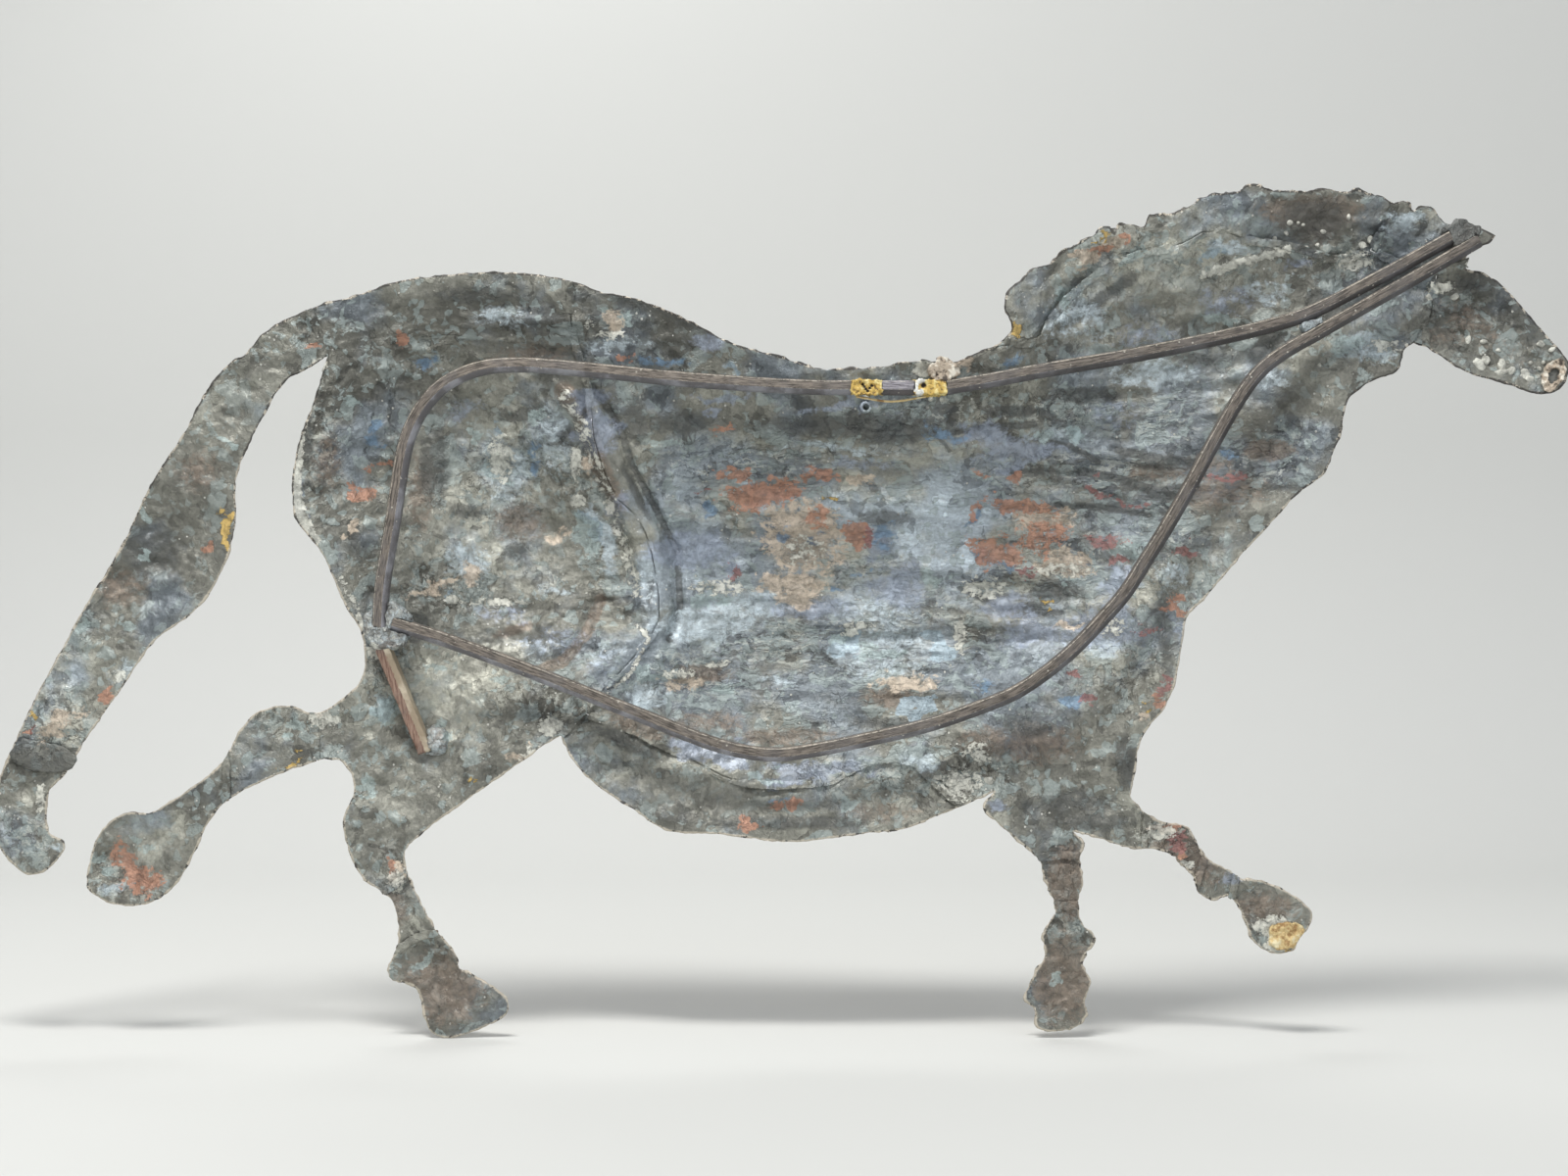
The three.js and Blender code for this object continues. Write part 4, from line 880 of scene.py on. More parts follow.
# %% [markdown]
# ### Mottled oxide
# The bare sheet isn't one grey. It clouds from dark to light, it carries flakes of pale oxide with
# crisp borders, and it is peppered with fine pits and white specks. A Voronoi pattern gives flakes,
# because each of its cells can have one random tone, and warped coordinates make the cells ragged.

# %% The mottled oxide: clouds and islands
oxide, given, result = new_group("mottled_oxide", [
    ("Vector", "Vector"), ("Streak", "Float"), ("Tone", "Float"), ("Crust", "Float"), ("Smooth", "Float"),
    ("Cool", "Color"), ("Warm", "Color"), ("Flake", "Color"),
], [("Color", "Color"), ("Height", "Float"), ("Break", "Float"), ("Fine Break", "Float")])
WANDER = 0.012
shift = vector_step(oxide, "SUBTRACT", cloudy(oxide, given["Vector"], 60, 5, output=1), (0.5, 0.5, 0.5))
shift = vector_step(oxide, "MULTIPLY", shift, (WANDER, WANDER, WANDER))
warped = vector_step(oxide, "ADD", given["Vector"], shift)
long_way = vector_step(oxide, "MULTIPLY", warped, (0.2, 1, 1))


def streaked(scale, long_scale, detail, roughness=0.6):
    """Noise that is even where the sheet is plain, and drawn out along the barrel."""
    return mix_value(oxide, given["Streak"], cloudy(oxide, warped, scale, detail, roughness),
                     cloudy(oxide, long_way, long_scale, detail, roughness))


tone = streaked(24, 46, 7, 0.62)
patch = streaked(85, 150, 6)
fine = cloudy(oxide, given["Vector"], 420, 4, 0.65)
hue = plus(oxide, cloudy(oxide, given["Vector"], 17, 5, 0.6), times(oxide, given["Streak"], 0.12))
colour = mix_colour(oxide, ramp_between(oxide, hue, 0.50, 0.66), given["Warm"], given["Cool"])
rough_zone = reckon(oxide, "SUBTRACT", 1.0, given["Smooth"], clamp=True)
light = times(oxide, light_range(oxide, tone, 0.54, 1.5), light_range(oxide, patch, 0.7, 1.3))
pale_island = ramp_between(oxide, cloudy(oxide, warped, 52, 3, 0.45), 0.575, 0.585)
dark_island = ramp_between(oxide, cloudy(oxide, warped, 66, 3, 0.45, 0.6), 0.60, 0.61)
light = times(oxide, light, mix_value(oxide, pale_island, 1.0, 1.32))
light = times(oxide, light, mix_value(oxide, dark_island, 1.0, 0.6))
print(len(oxide.nodes), "nodes for clouds and islands")

# %% [markdown]
# Flux that dries leaves a thin dark line at its border and a bright lip beside it, like the ring
# that a tide leaves on sand. The line lies where a noise passes one level, and the lip where the
# same noise passes a level a little higher.

# %% The mottled oxide: tide lines
def tide_line(noise_value, level, width):
    """A thin line where the noise passes a level."""
    away = reckon(oxide, "ABSOLUTE", minus(oxide, noise_value, level))
    return ramp_between(oxide, away, width, width * 0.3)


def tide_lines(levels, widths, least):
    """The lines of both noises, on crusty ground and on the paler patches."""
    both = [tide_line(*line) for line in zip(drying, levels, widths)]
    ground = times(oxide, crusty, ramp_between(oxide, patch, least, least + 0.1))
    return times(oxide, reckon(oxide, "MAXIMUM", *both), ground)


drying = (streaked(58, 90, 4, 0.55), streaked(33, 52, 5, 0.6))
crusty = mix_value(oxide, given["Crust"], 0.25, 1.0)
lines = tide_lines((0.47, 0.55), (0.008, 0.007), 0.44)
lips = tide_lines((0.484, 0.562), (0.007, 0.006), 0.46)
light = times(oxide, light, mix_value(oxide, lines, 1.0, 0.42))
light = times(oxide, light, mix_value(oxide, lips, 1.0, 1.32))
light = mix_value(oxide, reckon(oxide, "MULTIPLY", given["Smooth"], 0.7, clamp=True), light, 1.0)
light = times(oxide, light, times(oxide, given["Tone"], light_range(oxide, fine, 0.8, 1.2)))
colour = vector_step(oxide, "MULTIPLY", colour, light)
print(len(oxide.nodes), "nodes with the tide lines")

# %% [markdown]
# Last come the flakes, in three sizes, and the crusts: dark scale and pale flux broken over each
# other where the torch worked longest. The heights of all of them are added up for the bump.

# %% The mottled oxide: flakes, crusts, specks and height
several = None
for scale, least in ((260, 0.86), (120, 0.88), (58, 0.90)):
    drawn = random_cells(oxide, warped, scale, 0)[0]
    drawn = plus(oxide, drawn, times(oxide, given["Crust"], 0.16))
    flakes = times(oxide, ramp_between(oxide, drawn, least, least + 0.02),
                   ramp_between(oxide, patch, 0.40, 0.50))
    several = flakes if several is None else reckon(oxide, "MAXIMUM", flakes, several)
several = times(oxide, several, rough_zone)
colour = lay_over(oxide, colour, several, 0.62, given["Flake"])
scale_noise = streaked(150, 240, 7, 0.7)
crusted = times(oxide, given["Crust"], rough_zone)
dark_scale = times(oxide, ramp_between(oxide, scale_noise, 0.55, 0.565), crusted)
pale_scale = times(oxide, ramp_between(oxide, scale_noise, 0.452, 0.434), crusted)
dots = specks(oxide, given["Vector"], 260, 0.26, 1, 0.92)
colour = lay_over(oxide, colour, dark_scale, 0.7, rgb(80, 77, 70))
colour = lay_over(oxide, colour, pale_scale, 0.66, rgb(208, 211, 202))
colour = lay_over(oxide, colour, dots, 0.8, rgb(216, 216, 208))
height = times(oxide, several, 0.3)
for raised, share in ((patch, 1.6), (fine, 0.45), (minus(oxide, lips, lines), 0.5), (pale_island, 0.35),
                      (times(oxide, scale_noise, given["Crust"]), -1.6), (dots, 0.5)):
    height = plus(oxide, height, times(oxide, raised, share))
fill_in(oxide, result, {
    "Color": colour,
    "Height": times(oxide, height, mix_value(oxide, rough_zone, 0.3, 1.0)),
    "Break": cloudy(oxide, warped, 190, 6, 0.68),
    "Fine Break": mix_value(oxide, 0.4, cloudy(oxide, long_way, 560, 5, 0.7), fine),
})
print(len(oxide.nodes), "nodes in", oxide.name)

# %% [markdown]
# ### Finishes laid over the oxide
# Each finish has a soft mask on the mesh. Adding noise to the mask before cutting it off gives the
# crisp, broken border that flux and heat colours have, and a wide cut-off gives a soft haze.

# %% The group that breaks up a mask
broken, given, result = new_group("broken_mask", [
    ("Mask", "Float"), ("Break", "Float"), ("Fine Break", "Float"),
    ("Spread", "Float"), ("Softness", "Float"),
], [("Mask", "Float")])
BORDER = 0.42
rough_edge = plus(broken, minus(broken, given["Break"], 0.5), minus(broken, given["Fine Break"], 0.5))
raw = plus(broken, given["Mask"], times(broken, rough_edge, given["Spread"]))
cut_off = ramp_between(broken, raw, minus(broken, BORDER, given["Softness"]),
                       plus(broken, BORDER, given["Softness"]))
painted_at_all = ramp_between(broken, given["Mask"], 0.02, 0.2)
fill_in(broken, result, {"Mask": times(broken, cut_off, painted_at_all)})
print(len(broken.nodes), "nodes in", broken.name)

# %% The finishes, from the bottom layer up
# name: colour, spread of the border, softness of the border, strength
FINISHES = {
    "brown": (rgb(126, 114, 102), 1.2, 0.24, 0.75),
    # dark: dark scale, and in a few marks painted shade
    "dark": (rgb(80, 82, 80), 1.4, 0.28, 0.72),
    # pale: pale oxide, and one painted sheen on the neck
    "pale": (rgb(190, 203, 209), 1.3, 0.26, 0.75),
    # violet: heat tint, and a painted reflection of the sky under the lower bar
    "violet": (rgb(148, 158, 174), 1.3, 0.28, 0.7),
    "pond": (rgb(154, 171, 180), 0.9, 0.07, 0.85),
    "celadon": (rgb(164, 180, 178), 2.2, 0.05, 0.62),
    "tan": (rgb(194, 180, 162), 1.9, 0.16, 0.85),
    "blue": (rgb(112, 138, 162), 1.3, 0.2, 0.8),
    "copper": (rgb(178, 134, 112), 2.4, 0.1, 0.85),
    "maroon": (rgb(148, 108, 104), 2.4, 0.07, 0.85),
    # cream: flux, and a painted highlight along the rump's rear edge
    "cream": (rgb(212, 212, 202), 2.9, 0.06, 0.85),
    "brass": (rgb(204, 176, 110), 2.0, 0.08, 0.95),
}
RAISED = ("cream", "brass")


def lay_finishes(tree, base):
    """Lays every finish over the oxide, and raises the crusts. Returns colour, height and crust."""
    colour, coarse_break = base.outputs["Color"], base.outputs["Break"]
    crusts = []
    for name, (tint, spread, softness, strength) in FINISHES.items():
        laid = add_node(tree, "ShaderNodeGroup", {
            "Mask": mask(tree, name), "Break": coarse_break, "Fine Break": base.outputs["Fine Break"],
            "Spread": spread, "Softness": softness}, node_tree=broken)
        amount = times(tree, laid.outputs[0], strength)
        dark, bright = ((*[min(1, value * share) for value in tint[:3]], 1) for share in (0.7, 1.3))
        shaded = mix_colour(tree, ramp_between(tree, coarse_break, 0.36, 0.64), dark, bright)
        colour = mix_colour(tree, amount, colour, shaded)
        if name in RAISED:
            crusts.append(amount)
    crust = reckon(tree, "MAXIMUM", *crusts)
    return colour, plus(tree, base.outputs["Height"], times(tree, crust, 0.8)), crust


print("finishes:", ", ".join(FINISHES))

# %% [markdown]
# ### The rear face of the sheets
# The rear face has the oxide, all its finishes and, along the cut edge, a burnt rim that is chipped
# pale, and the pale is partly a painted highlight of the lit edge, more of it in the lower half. Calm
# ground is a little glossier, and crusts are dull.

# %% Patina for sheets and for weld metal
def patina(name, cool, warm, flake, bump):
    """The oxide with all its finishes."""
    made, tree, surface = new_material(name, cool)
    places = object_places(tree)
    base = add_node(tree, "ShaderNodeGroup", {
        "Vector": places, "Streak": mask(tree, "streak"), "Tone": mask(tree, "tone"),
        "Crust": mask(tree, "crust"), "Smooth": mask(tree, "smooth"),
        "Cool": cool, "Warm": warm, "Flake": flake}, node_tree=oxide)
    colour, height, crust = lay_finishes(tree, base)
    up = add_node(tree, "ShaderNodeSeparateXYZ", {0: places}).outputs[2]
    # The pale of the rim is partly chipped scale and partly a painted highlight of the lit cut edge, more of
    # it in the lower half.
    lower_half_highlight = times(tree, ramp_between(tree, up, 0.0, -0.14), 0.13)
    pale_chips_and_highlight = ramp_between(tree, plus(tree, base.outputs["Break"], lower_half_highlight), 0.535, 0.585)
    edge = mix_colour(tree, pale_chips_and_highlight, rgb(62, 58, 55), rgb(206, 197, 180))
    uneven_rim = times(tree, minus(tree, base.outputs["Fine Break"], 0.5), 1.2)
    rim = ramp_between(tree, plus(tree, mask(tree, "rim"), uneven_rim), 0.45, 0.8)
    rough = mix_value(tree, base.outputs["Break"], 0.3, 0.62)
    rough = mix_value(tree, times(tree, mask(tree, "smooth"), 0.6), rough, 0.3)
    fill_in(tree, surface, {
        "Base Color": lay_over(tree, colour, rim, 0.85, edge),
        "Roughness": mix_value(tree, crust, rough, 0.75),
        "Metallic": 0.3, "Specular IOR Level": 0.5,
        "Normal": bumps(tree, height, bump, 0.0013)})
    return made


sheet_rear = patina("sheet_rear", rgb(126, 134, 139), rgb(131, 131, 122), rgb(162, 174, 172), 1.1)
weld_rear = patina("weld_rear", rgb(122, 128, 134), rgb(126, 122, 116), rgb(176, 180, 176), 1.2)
print(len(sheet_rear.node_tree.nodes), "nodes in", sheet_rear.name)

# %% [markdown]
# ### The display side and the cut edges
# The display side faces the room and isn't in the photograph. It is the same hammered sheet, so it
# gets a plain dark bronze: brown metal, rubbed brighter on the high spots, with green in the dents.
# The cut edge is burnt metal, dark with paler scale.

# %% Dark bronze, and the torch-cut edge
bronze, tree, surface = new_material("display_bronze", rgb(98, 78, 58))
tone = cloudy(tree, object_places(tree), 32, 7, 0.62)
fine = cloudy(tree, object_places(tree), 260, 5, 0.65)
high = mask(tree, "high")
rubbed = ramp_between(tree, plus(tree, high, times(tree, fine, 0.5)), 0.72, 1.0)
green = ramp_between(tree, minus(tree, times(tree, tone, 1.1), high), 0.12, 0.42)
colour = mix_colour(tree, ramp_between(tree, tone, 0.36, 0.62), rgb(70, 56, 44), rgb(122, 94, 66))
colour = lay_over(tree, colour, green, 0.5, rgb(92, 118, 102))
fill_in(tree, surface, {
    "Base Color": lay_over(tree, colour, rubbed, 0.7, rgb(168, 130, 84)),
    "Roughness": mix_value(tree, fine, 0.28, 0.55), "Metallic": 0.8,
    "Normal": bumps(tree, plus(tree, fine, times(tree, tone, 1.5)), 0.55, 0.001)})

burnt, tree, surface = new_material("cut_edge", rgb(84, 76, 68))
fine = cloudy(tree, object_places(tree), 300, 5, 0.7)
fill_in(tree, surface, {
    "Base Color": mix_colour(tree, ramp_between(tree, fine, 0.4, 0.62), rgb(58, 53, 49), rgb(134, 122, 108)),
    "Roughness": mix_value(tree, fine, 0.4, 0.8), "Metallic": 0.5,
    "Normal": bumps(tree, fine, 0.8, 0.001)})
print("sheet materials:", sheet_rear.name, bronze.name, burnt.name)

# %% [markdown]
# ## The sheets
# Each sheet starts from a copy of its CAD node. Only the rear skin is kept, its long edges are
# split until the mesh is fine enough for hammer marks, its cut edge is roughened, and then every
# vertex is set to the depth that the relief map gives. A Solidify modifier gives back the 2 mm
# of metal, with dark bronze on the display side and burnt metal on the cut edge.

# %% From a CAD sheet to a fine rear skin
SAME_SPOT = 2e-5
COARSE_EDGE = 0.009


def drop_turned(bm, least):
    """Deletes the faces that hardly face the rear."""
    bm.normal_update()
    turned = [face for face in bm.faces if face.normal.y < least]
    bmesh.ops.delete(bm, geom=turned, context="FACES")


def rear_skin(name):
    bm = bmesh.new()
    bm.from_mesh(nodes[name].data)
    bmesh.ops.remove_doubles(bm, verts=bm.verts, dist=SAME_SPOT)
    drop_turned(bm, 0.3)
    return bm


def split_long(bm, longest):
    """Halves the longest edge of each face, until no edge is too long."""
    while True:
        bm.edges.index_update()
        lengths = {edge: (edge.calc_length(), edge.index) for edge in bm.edges}
        votes = {}
        for face in bm.faces:
            edge = max(face.edges, key=lengths.get)
            if lengths[edge][0] > longest:
                votes[edge] = votes.get(edge, 0) + 1
        chosen = [edge for edge, count in votes.items() if count == len(edge.link_faces)]
        if not chosen:
            break
        bmesh.ops.subdivide_edges(bm, edges=chosen, cuts=1, use_single_edge=True)


def even_out(bm, rounds):
    inner = [edge for edge in bm.edges if not edge.is_boundary]
    bmesh.ops.beautify_fill(bm, faces=bm.faces, edges=inner, method="ANGLE")
    loose = [vert for vert in bm.verts if not vert.is_boundary]
    for _ in range(rounds):
        bmesh.ops.smooth_vert(bm, verts=loose, factor=0.5, use_axis_x=True, use_axis_y=True, use_axis_z=True)


def refine(bm, finest):
    for longest in (COARSE_EDGE, finest):
        split_long(bm, longest)
        even_out(bm, 2)


print("sheets can be split to any edge length")

# %% Roughening the cut edge
PROBE = 0.0016
EDGE_CATCH = 0.006


def spread_of(verts):
    """Where the vertices lie across and up the wall."""
    places = np.array([vert.co for vert in verts])
    return places[:, 0], places[:, 2]


def outward(vert):
    """The way out of the sheet at a vertex of its border, in the plane of the wall."""
    out = Vector()
    for edge in vert.link_edges:
        if edge.is_boundary:
            along = (edge.verts[1].co - edge.verts[0].co).normalized()
            away = vert.co - edge.link_faces[0].calc_center_median()
            away -= along * away.dot(along)
            away.y = 0
            out += away.normalized()
    return out.normalized()


def roughen_cut(bm):
    """Moves the cut edge onto the fine outline and roughens it. Seams stay where they are."""
    border = [vert for vert in bm.verts if vert.is_boundary]
    ways = [outward(vert) for vert in border]
    pushes = read_map(ragged, *spread_of(border))
    for vert, way, push in zip(border, ways, pushes):
        probe = vert.co + way * PROBE
        if depth_at(probe.x, probe.z) is not None:
            continue
        spot, _, gap = edge_tree.find((vert.co.x, 0, vert.co.z))
        if gap < EDGE_CATCH:
            vert.co.x, vert.co.z = spot.x, spot.z
        vert.co += way * float(push)
    even_out(bm, 4)
    for _ in range(3):
        drop_turned(bm, 0.15)
    stray = [vert for vert in bm.verts if not vert.link_faces]
    bmesh.ops.delete(bm, geom=stray, context="VERTS")


print("a seam is where another sheet lies within", PROBE * 1000, "mm")

# %% [markdown]
# Every mesh carries the painted maps as marks, one number per vertex, because a shader can't read
# the maps themselves. The places they are read at wobble a little for most colours, so that the
# round dabs get wandering borders.

# %% The marks that a mesh carries
WOBBLE = 0.0032
WOBBLY = {"copper", "maroon", "tan", "blue", "pond", "celadon", "brass", "pale", "violet"}
wobble_across, wobble_up = (WOBBLE * clouds(0.020, 0.013, octaves=5, fade=0.7) for _ in range(2))
high_map = np.clip(0.5 - (lift - soften(lift, 0.012)) / 0.0022, 0, 1)


def lay_attribute(mesh, name, values):
    mesh.attributes.new(name, "FLOAT", "POINT").data.foreach_set("value", np.asarray(values, np.float32))


def lay_marks(piece, extra=None):
    """Gives a mesh the masks that the patina reads. An extra mark is the least that a mask may be."""
    places = np.empty(len(piece.data.vertices) * 3, np.float32)
    piece.data.vertices.foreach_get("co", places)
    xs, zs = places[0::3], places[2::3]
    moved_xs, moved_zs = xs + read_map(wobble_across, xs, zs), zs + read_map(wobble_up, xs, zs)
    for name, values in finish.items():
        laid = read_map(values, moved_xs, moved_zs) if name in WOBBLY else read_map(values, xs, zs)
        if extra and name in extra:
            laid = np.maximum(laid, extra[name])
        lay_attribute(piece.data, name, laid)
    lay_attribute(piece.data, "streak", read_map(barrel, xs, zs))
    lay_attribute(piece.data, "tone", read_map(tone_and_shade_map, xs, zs))
    lay_attribute(piece.data, "high", read_map(high_map, xs, zs))


print(len(finish) + 3, "marks for each mesh")

# %% [markdown]
# The rim gets a narrow row of faces of its own that drops away a little, so that the cut edge
# catches light. The two largest sheets are split less finely, to keep them below the limit of
# triangles.

# %% The hammered sheets
RIM_INSET = 0.0009
RIM_DROP = 0.0003
RIM_REACH = 0.0032
SHEET_THICKNESS = 0.002
FINEST = {"body_panel": 0.0033, "haunch_panel": 0.0026}
FINEST_ELSEWHERE = 0.0021


def hammered_sheet(name, finest):
    bm = rear_skin(name)
    refine(bm, finest)
    roughen_cut(bm)
    bmesh.ops.inset_region(bm, faces=bm.faces, thickness=RIM_INSET, use_boundary=True, use_even_offset=False)
    bmesh.ops.triangulate(bm, faces=[face for face in bm.faces if len(face.verts) > 3])
    rim_mark = bm.verts.layers.float.new("rim")
    for vert, level in zip(bm.verts, read_map(sheet_level, *spread_of(bm.verts))):
        vert.co.y = level - (RIM_DROP if vert.is_boundary else 0)
        gap = edge_tree.find((vert.co.x, 0, vert.co.z))[2]
        vert[rim_mark] = max(0, 1 - gap / RIM_REACH)
    drop_turned(bm, 0.2)
    piece = mesh_object(name + "_hammered", bm, sheet_rear, bronze, burnt)
    lay_marks(piece)
    wall = piece.modifiers.new("sheet_metal", "SOLIDIFY")
    wall.thickness = SHEET_THICKNESS
    wall.offset = -1
    wall.material_offset = 1
    wall.material_offset_rim = 2
    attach(piece, "root")
    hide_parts(name)
    return piece


sheets = {name: hammered_sheet(name, FINEST.get(name, FINEST_ELSEWHERE)) for name in SHEETS}
print({name: len(piece.data.polygons) for name, piece in sheets.items()})

# %% [markdown]
# ## The square bars
# The bars are black steel bar, 9.5 mm across, bent cold round the horse. They are swept along
# smooth lines through the CAD's bends. Their section isn't a plain square: the upper corner is painted
# bright, worn metal with a painted highlight, and the lower corner has a slanting face, painted in
# colours of its own for the light and shade it catches. The rear face stays flat on the wall plane.

# %% Bar metal
def bar_paint(name, face_dark, face_light, side_dark, side_light):
    """Drawn steel, with painted light and shade: the slanting side has colours of its own for the light it
    catches, the bar darkens towards -x, and the worn corners also carry a painted highlight.
    """
    made, tree, surface = new_material(name, face_light)
    places = object_places(tree)
    drawn = add_node(tree, "ShaderNodeCombineXYZ", {
        "X": times(tree, mask(tree, "along"), 0.12), "Y": mask(tree, "across")}).outputs[0]
    grain = cloudy(tree, drawn, 900, 6, 0.65)
    tone = cloudy(tree, places, 38, 6, 0.6)
    fine = cloudy(tree, places, 420, 5, 0.7)
    colour = mix_colour(tree, ramp_between(tree, grain, 0.36, 0.62), face_dark, face_light)
    colour = lay_over(tree, colour, ramp_between(tree, tone, 0.46, 0.6), 0.4, rgb(112, 109, 108))
    # The slanting side is painted in colours of its own, lighter or darker than the rear face: painted light
    # and shade for the way that side faces the light.
    side = mix_colour(tree, ramp_between(tree, tone, 0.42, 0.62), side_dark, side_light)
    colour = mix_colour(tree, ramp_between(tree, mask(tree, "side"), 0.3, 0.7), colour, side)
    # Painted shade: the bar darkens towards -x, the right of the view from the wall, and most on the slanting
    # side, as the light comes from the upper left.
    reach = add_node(tree, "ShaderNodeSeparateXYZ", {0: places}).outputs[0]
    shaded = mix_value(tree, mask(tree, "side"), 0.2, 0.75)
    colour = lay_over(tree, colour, ramp_between(tree, reach, 0.16, -0.2), shaded, rgb(70, 67, 65))
    # The worn corners are painted bright: worn metal, and a painted highlight along the edges.
    spread = times(tree, minus(tree, fine, 0.5), 1.6)
    worn_and_lit = ramp_between(tree, plus(tree, mask(tree, "wear_and_glint"), spread), 0.78, 0.95)
    colour = lay_over(tree, colour, worn_and_lit, 0.75, rgb(200, 194, 180))
    dots = specks(tree, places, 330, 0.25, 0, 0.93)
    fill_in(tree, surface, {
        "Base Color": lay_over(tree, colour, dots, 0.7, rgb(210, 206, 194)),
        "Roughness": mix_value(tree, fine, 0.32, 0.62), "Metallic": 0.4,
        "Normal": bumps(tree, plus(tree, grain, times(tree, fine, 0.7)), 0.7, 0.0008)})
    return made


# The last two colours of each bar are the slanting side's painted light and shade.
bar_metal = bar_paint("bar_metal", rgb(76, 71, 66), rgb(140, 131, 121),
                      rgb(112, 110, 112), rgb(160, 160, 166))
stub_metal = bar_paint("stub_metal", rgb(122, 92, 78), rgb(176, 148, 132),
                       rgb(176, 160, 138), rgb(228, 216, 194))
splice_metal = bar_paint("splice_metal", rgb(106, 103, 109), rgb(172, 169, 176),
                         rgb(80, 76, 77), rgb(118, 114, 116))
print("made", bar_metal.name, stub_metal.name, splice_metal.name)

# %% The section of a bar, along a line
# across the bar (+ is the upper side), depth in front of the wall plane, worn and painted highlight, slanting
# side; in mm
BAR_SECTION = [
    (4.75, 1.0, 0.4, 0), (3.9, 0.0, 1, 0), (2.9, 0.0, 0, 0), (-0.4, 0.0, 0, 0), (-1.3, 0.0, 0.85, 0.3),
    (-1.9, 0.22, 0, 1), (-4.4, 2.9, 0, 1), (-4.75, 3.7, 0, 1),
    (-4.75, 8.9, 0, 1), (-4.1, 9.5, 0, 1), (4.1, 9.5, 0, 0), (4.75, 8.9, 0, 0),
]
RIPPLE = 0.00018
# without a seed, noise_vector starts from the clock and differs in each run
noise.seed_set(11)


def section_row(line, index):
    """The corners of the section at one place of the line, shifted a little by noise."""
    centre = line[index]
    way = line[min(index + 1, len(line) - 1)] - line[max(index - 1, 0)]
    way = Vector((way.x, 0, way.z)).normalized()
    aside = Vector((way.z, 0, -way.x))
    row = []
    for across, depth, _, _ in BAR_SECTION:
        spot = centre + aside * (across / 1000) + Vector((0, -depth / 1000, 0))
        spot += noise.noise_vector(spot / 0.009) * RIPPLE * 0.35 + noise.noise_vector(spot / 0.04) * RIPPLE
        spot.y = min(spot.y, 0) if depth > 0 else centre.y
        row.append(spot)
    return row


def extruded(rows):
    """A mesh grown from row to row, and its rings of vertices."""
    bm = bmesh.new()
    ring = [bm.verts.new(spot) for spot in rows[0]]
    face = bm.faces.new(ring)
    rings = [ring]
    for row in rows[1:]:
        grown = bmesh.ops.extrude_face_region(bm, geom=[face])["geom"]
        face = next(item for item in grown if isinstance(item, bmesh.types.BMFace))
        old_spots = [vert.co.copy() for vert in rings[-1]]
        ring = [min(face.verts, key=lambda vert: (vert.co - old).length_squared) for old in old_spots]
        for vert, spot in zip(ring, row):
            vert.co = spot
        rings.append(ring)
    bmesh.ops.recalc_face_normals(bm, faces=bm.faces)
    return bm, rings


print(len(BAR_SECTION), "corners in the bar's section")

# %% [markdown]
# Each bar also carries marks for its paint: how far along and across it a vertex lies, where it is
# worn and takes a painted highlight, and which side slants.

# %% The four long bars
BARS = {
    "top_bar_rear": [
        (389, 640), (391, 603), (402, 535), (413, 465), (420, 440), (433, 416), (452, 395), (475, 382),
        (500, 375), (530, 373), (562, 374.5), (600, 378), (644, 382.5), (713, 389), (782, 393.5),
        (837, 396), (868, 396),
    ],
    "splice_bar": [
        (899, 396.4), (916, 396.6), (933, 396.3),
    ],
    "top_bar_front": [
        (965, 396), (1008, 389), (1050, 381), (1150, 364), (1250, 344), (1295, 333), (1322, 325),
        (1345, 315.5), (1400, 287), (1478, 244),
    ],
    "lower_bar": [
        (402, 636), (453, 652), (555, 690), (657, 731), (715, 754), (736, 761), (768, 768), (797, 769.5),
        (837, 764), (894, 752), (952, 738), (998, 722), (1036, 706), (1065, 687), (1093, 664),
        (1122, 634), (1147, 605), (1168, 572), (1190, 537), (1215, 493), (1237, 452), (1257, 417),
        (1275, 390), (1290, 374), (1312, 358), (1340, 342), (1400, 308), (1506, 247),
    ],
}
BAR_STEP = 0.003


def swept_bar(name, points, material):
    line = smooth_line(points, BAR_STEP)
    bm, rings = extruded([section_row(line, index) for index in range(len(line))])
    bm.verts.index_update()
    marks = {label: [0.0] * len(bm.verts) for label in ("wear_and_glint", "side", "along", "across")}
    length = 0.0
    for number, ring in enumerate(rings):
        length += (line[number] - line[number - 1]).length if number else 0
        for vert, (across, depth, worn_and_lit, slant) in zip(ring, BAR_SECTION):
            marks["wear_and_glint"][vert.index] = float(worn_and_lit)
            marks["side"][vert.index] = float(slant)
            marks["along"][vert.index] = length
            marks["across"][vert.index] = (across - depth) / 1000
    piece = mesh_object(name + "_swept", bm, material)
    piece.data.set_sharp_from_angle(angle=math.radians(32))
    for label, values in marks.items():
        lay_attribute(piece.data, label, values)
    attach(piece, "root")
    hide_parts(name)
    return piece


bars = {}
for name, points in BARS.items():
    bars[name] = swept_bar(name, points, splice_metal if name == "splice_bar" else bar_metal)
print({name: len(piece.data.polygons) for name, piece in bars.items()})

# %% [markdown]
# ## Beads, welds and brass
# Molten metal freezes in lumps. Each lump starts from its CAD node, is split finely, and is pushed
# in and out by noise along its own surface. The beads carry the same oxide as the sheets, and the
# brass is yellow with burnt brown hollows.

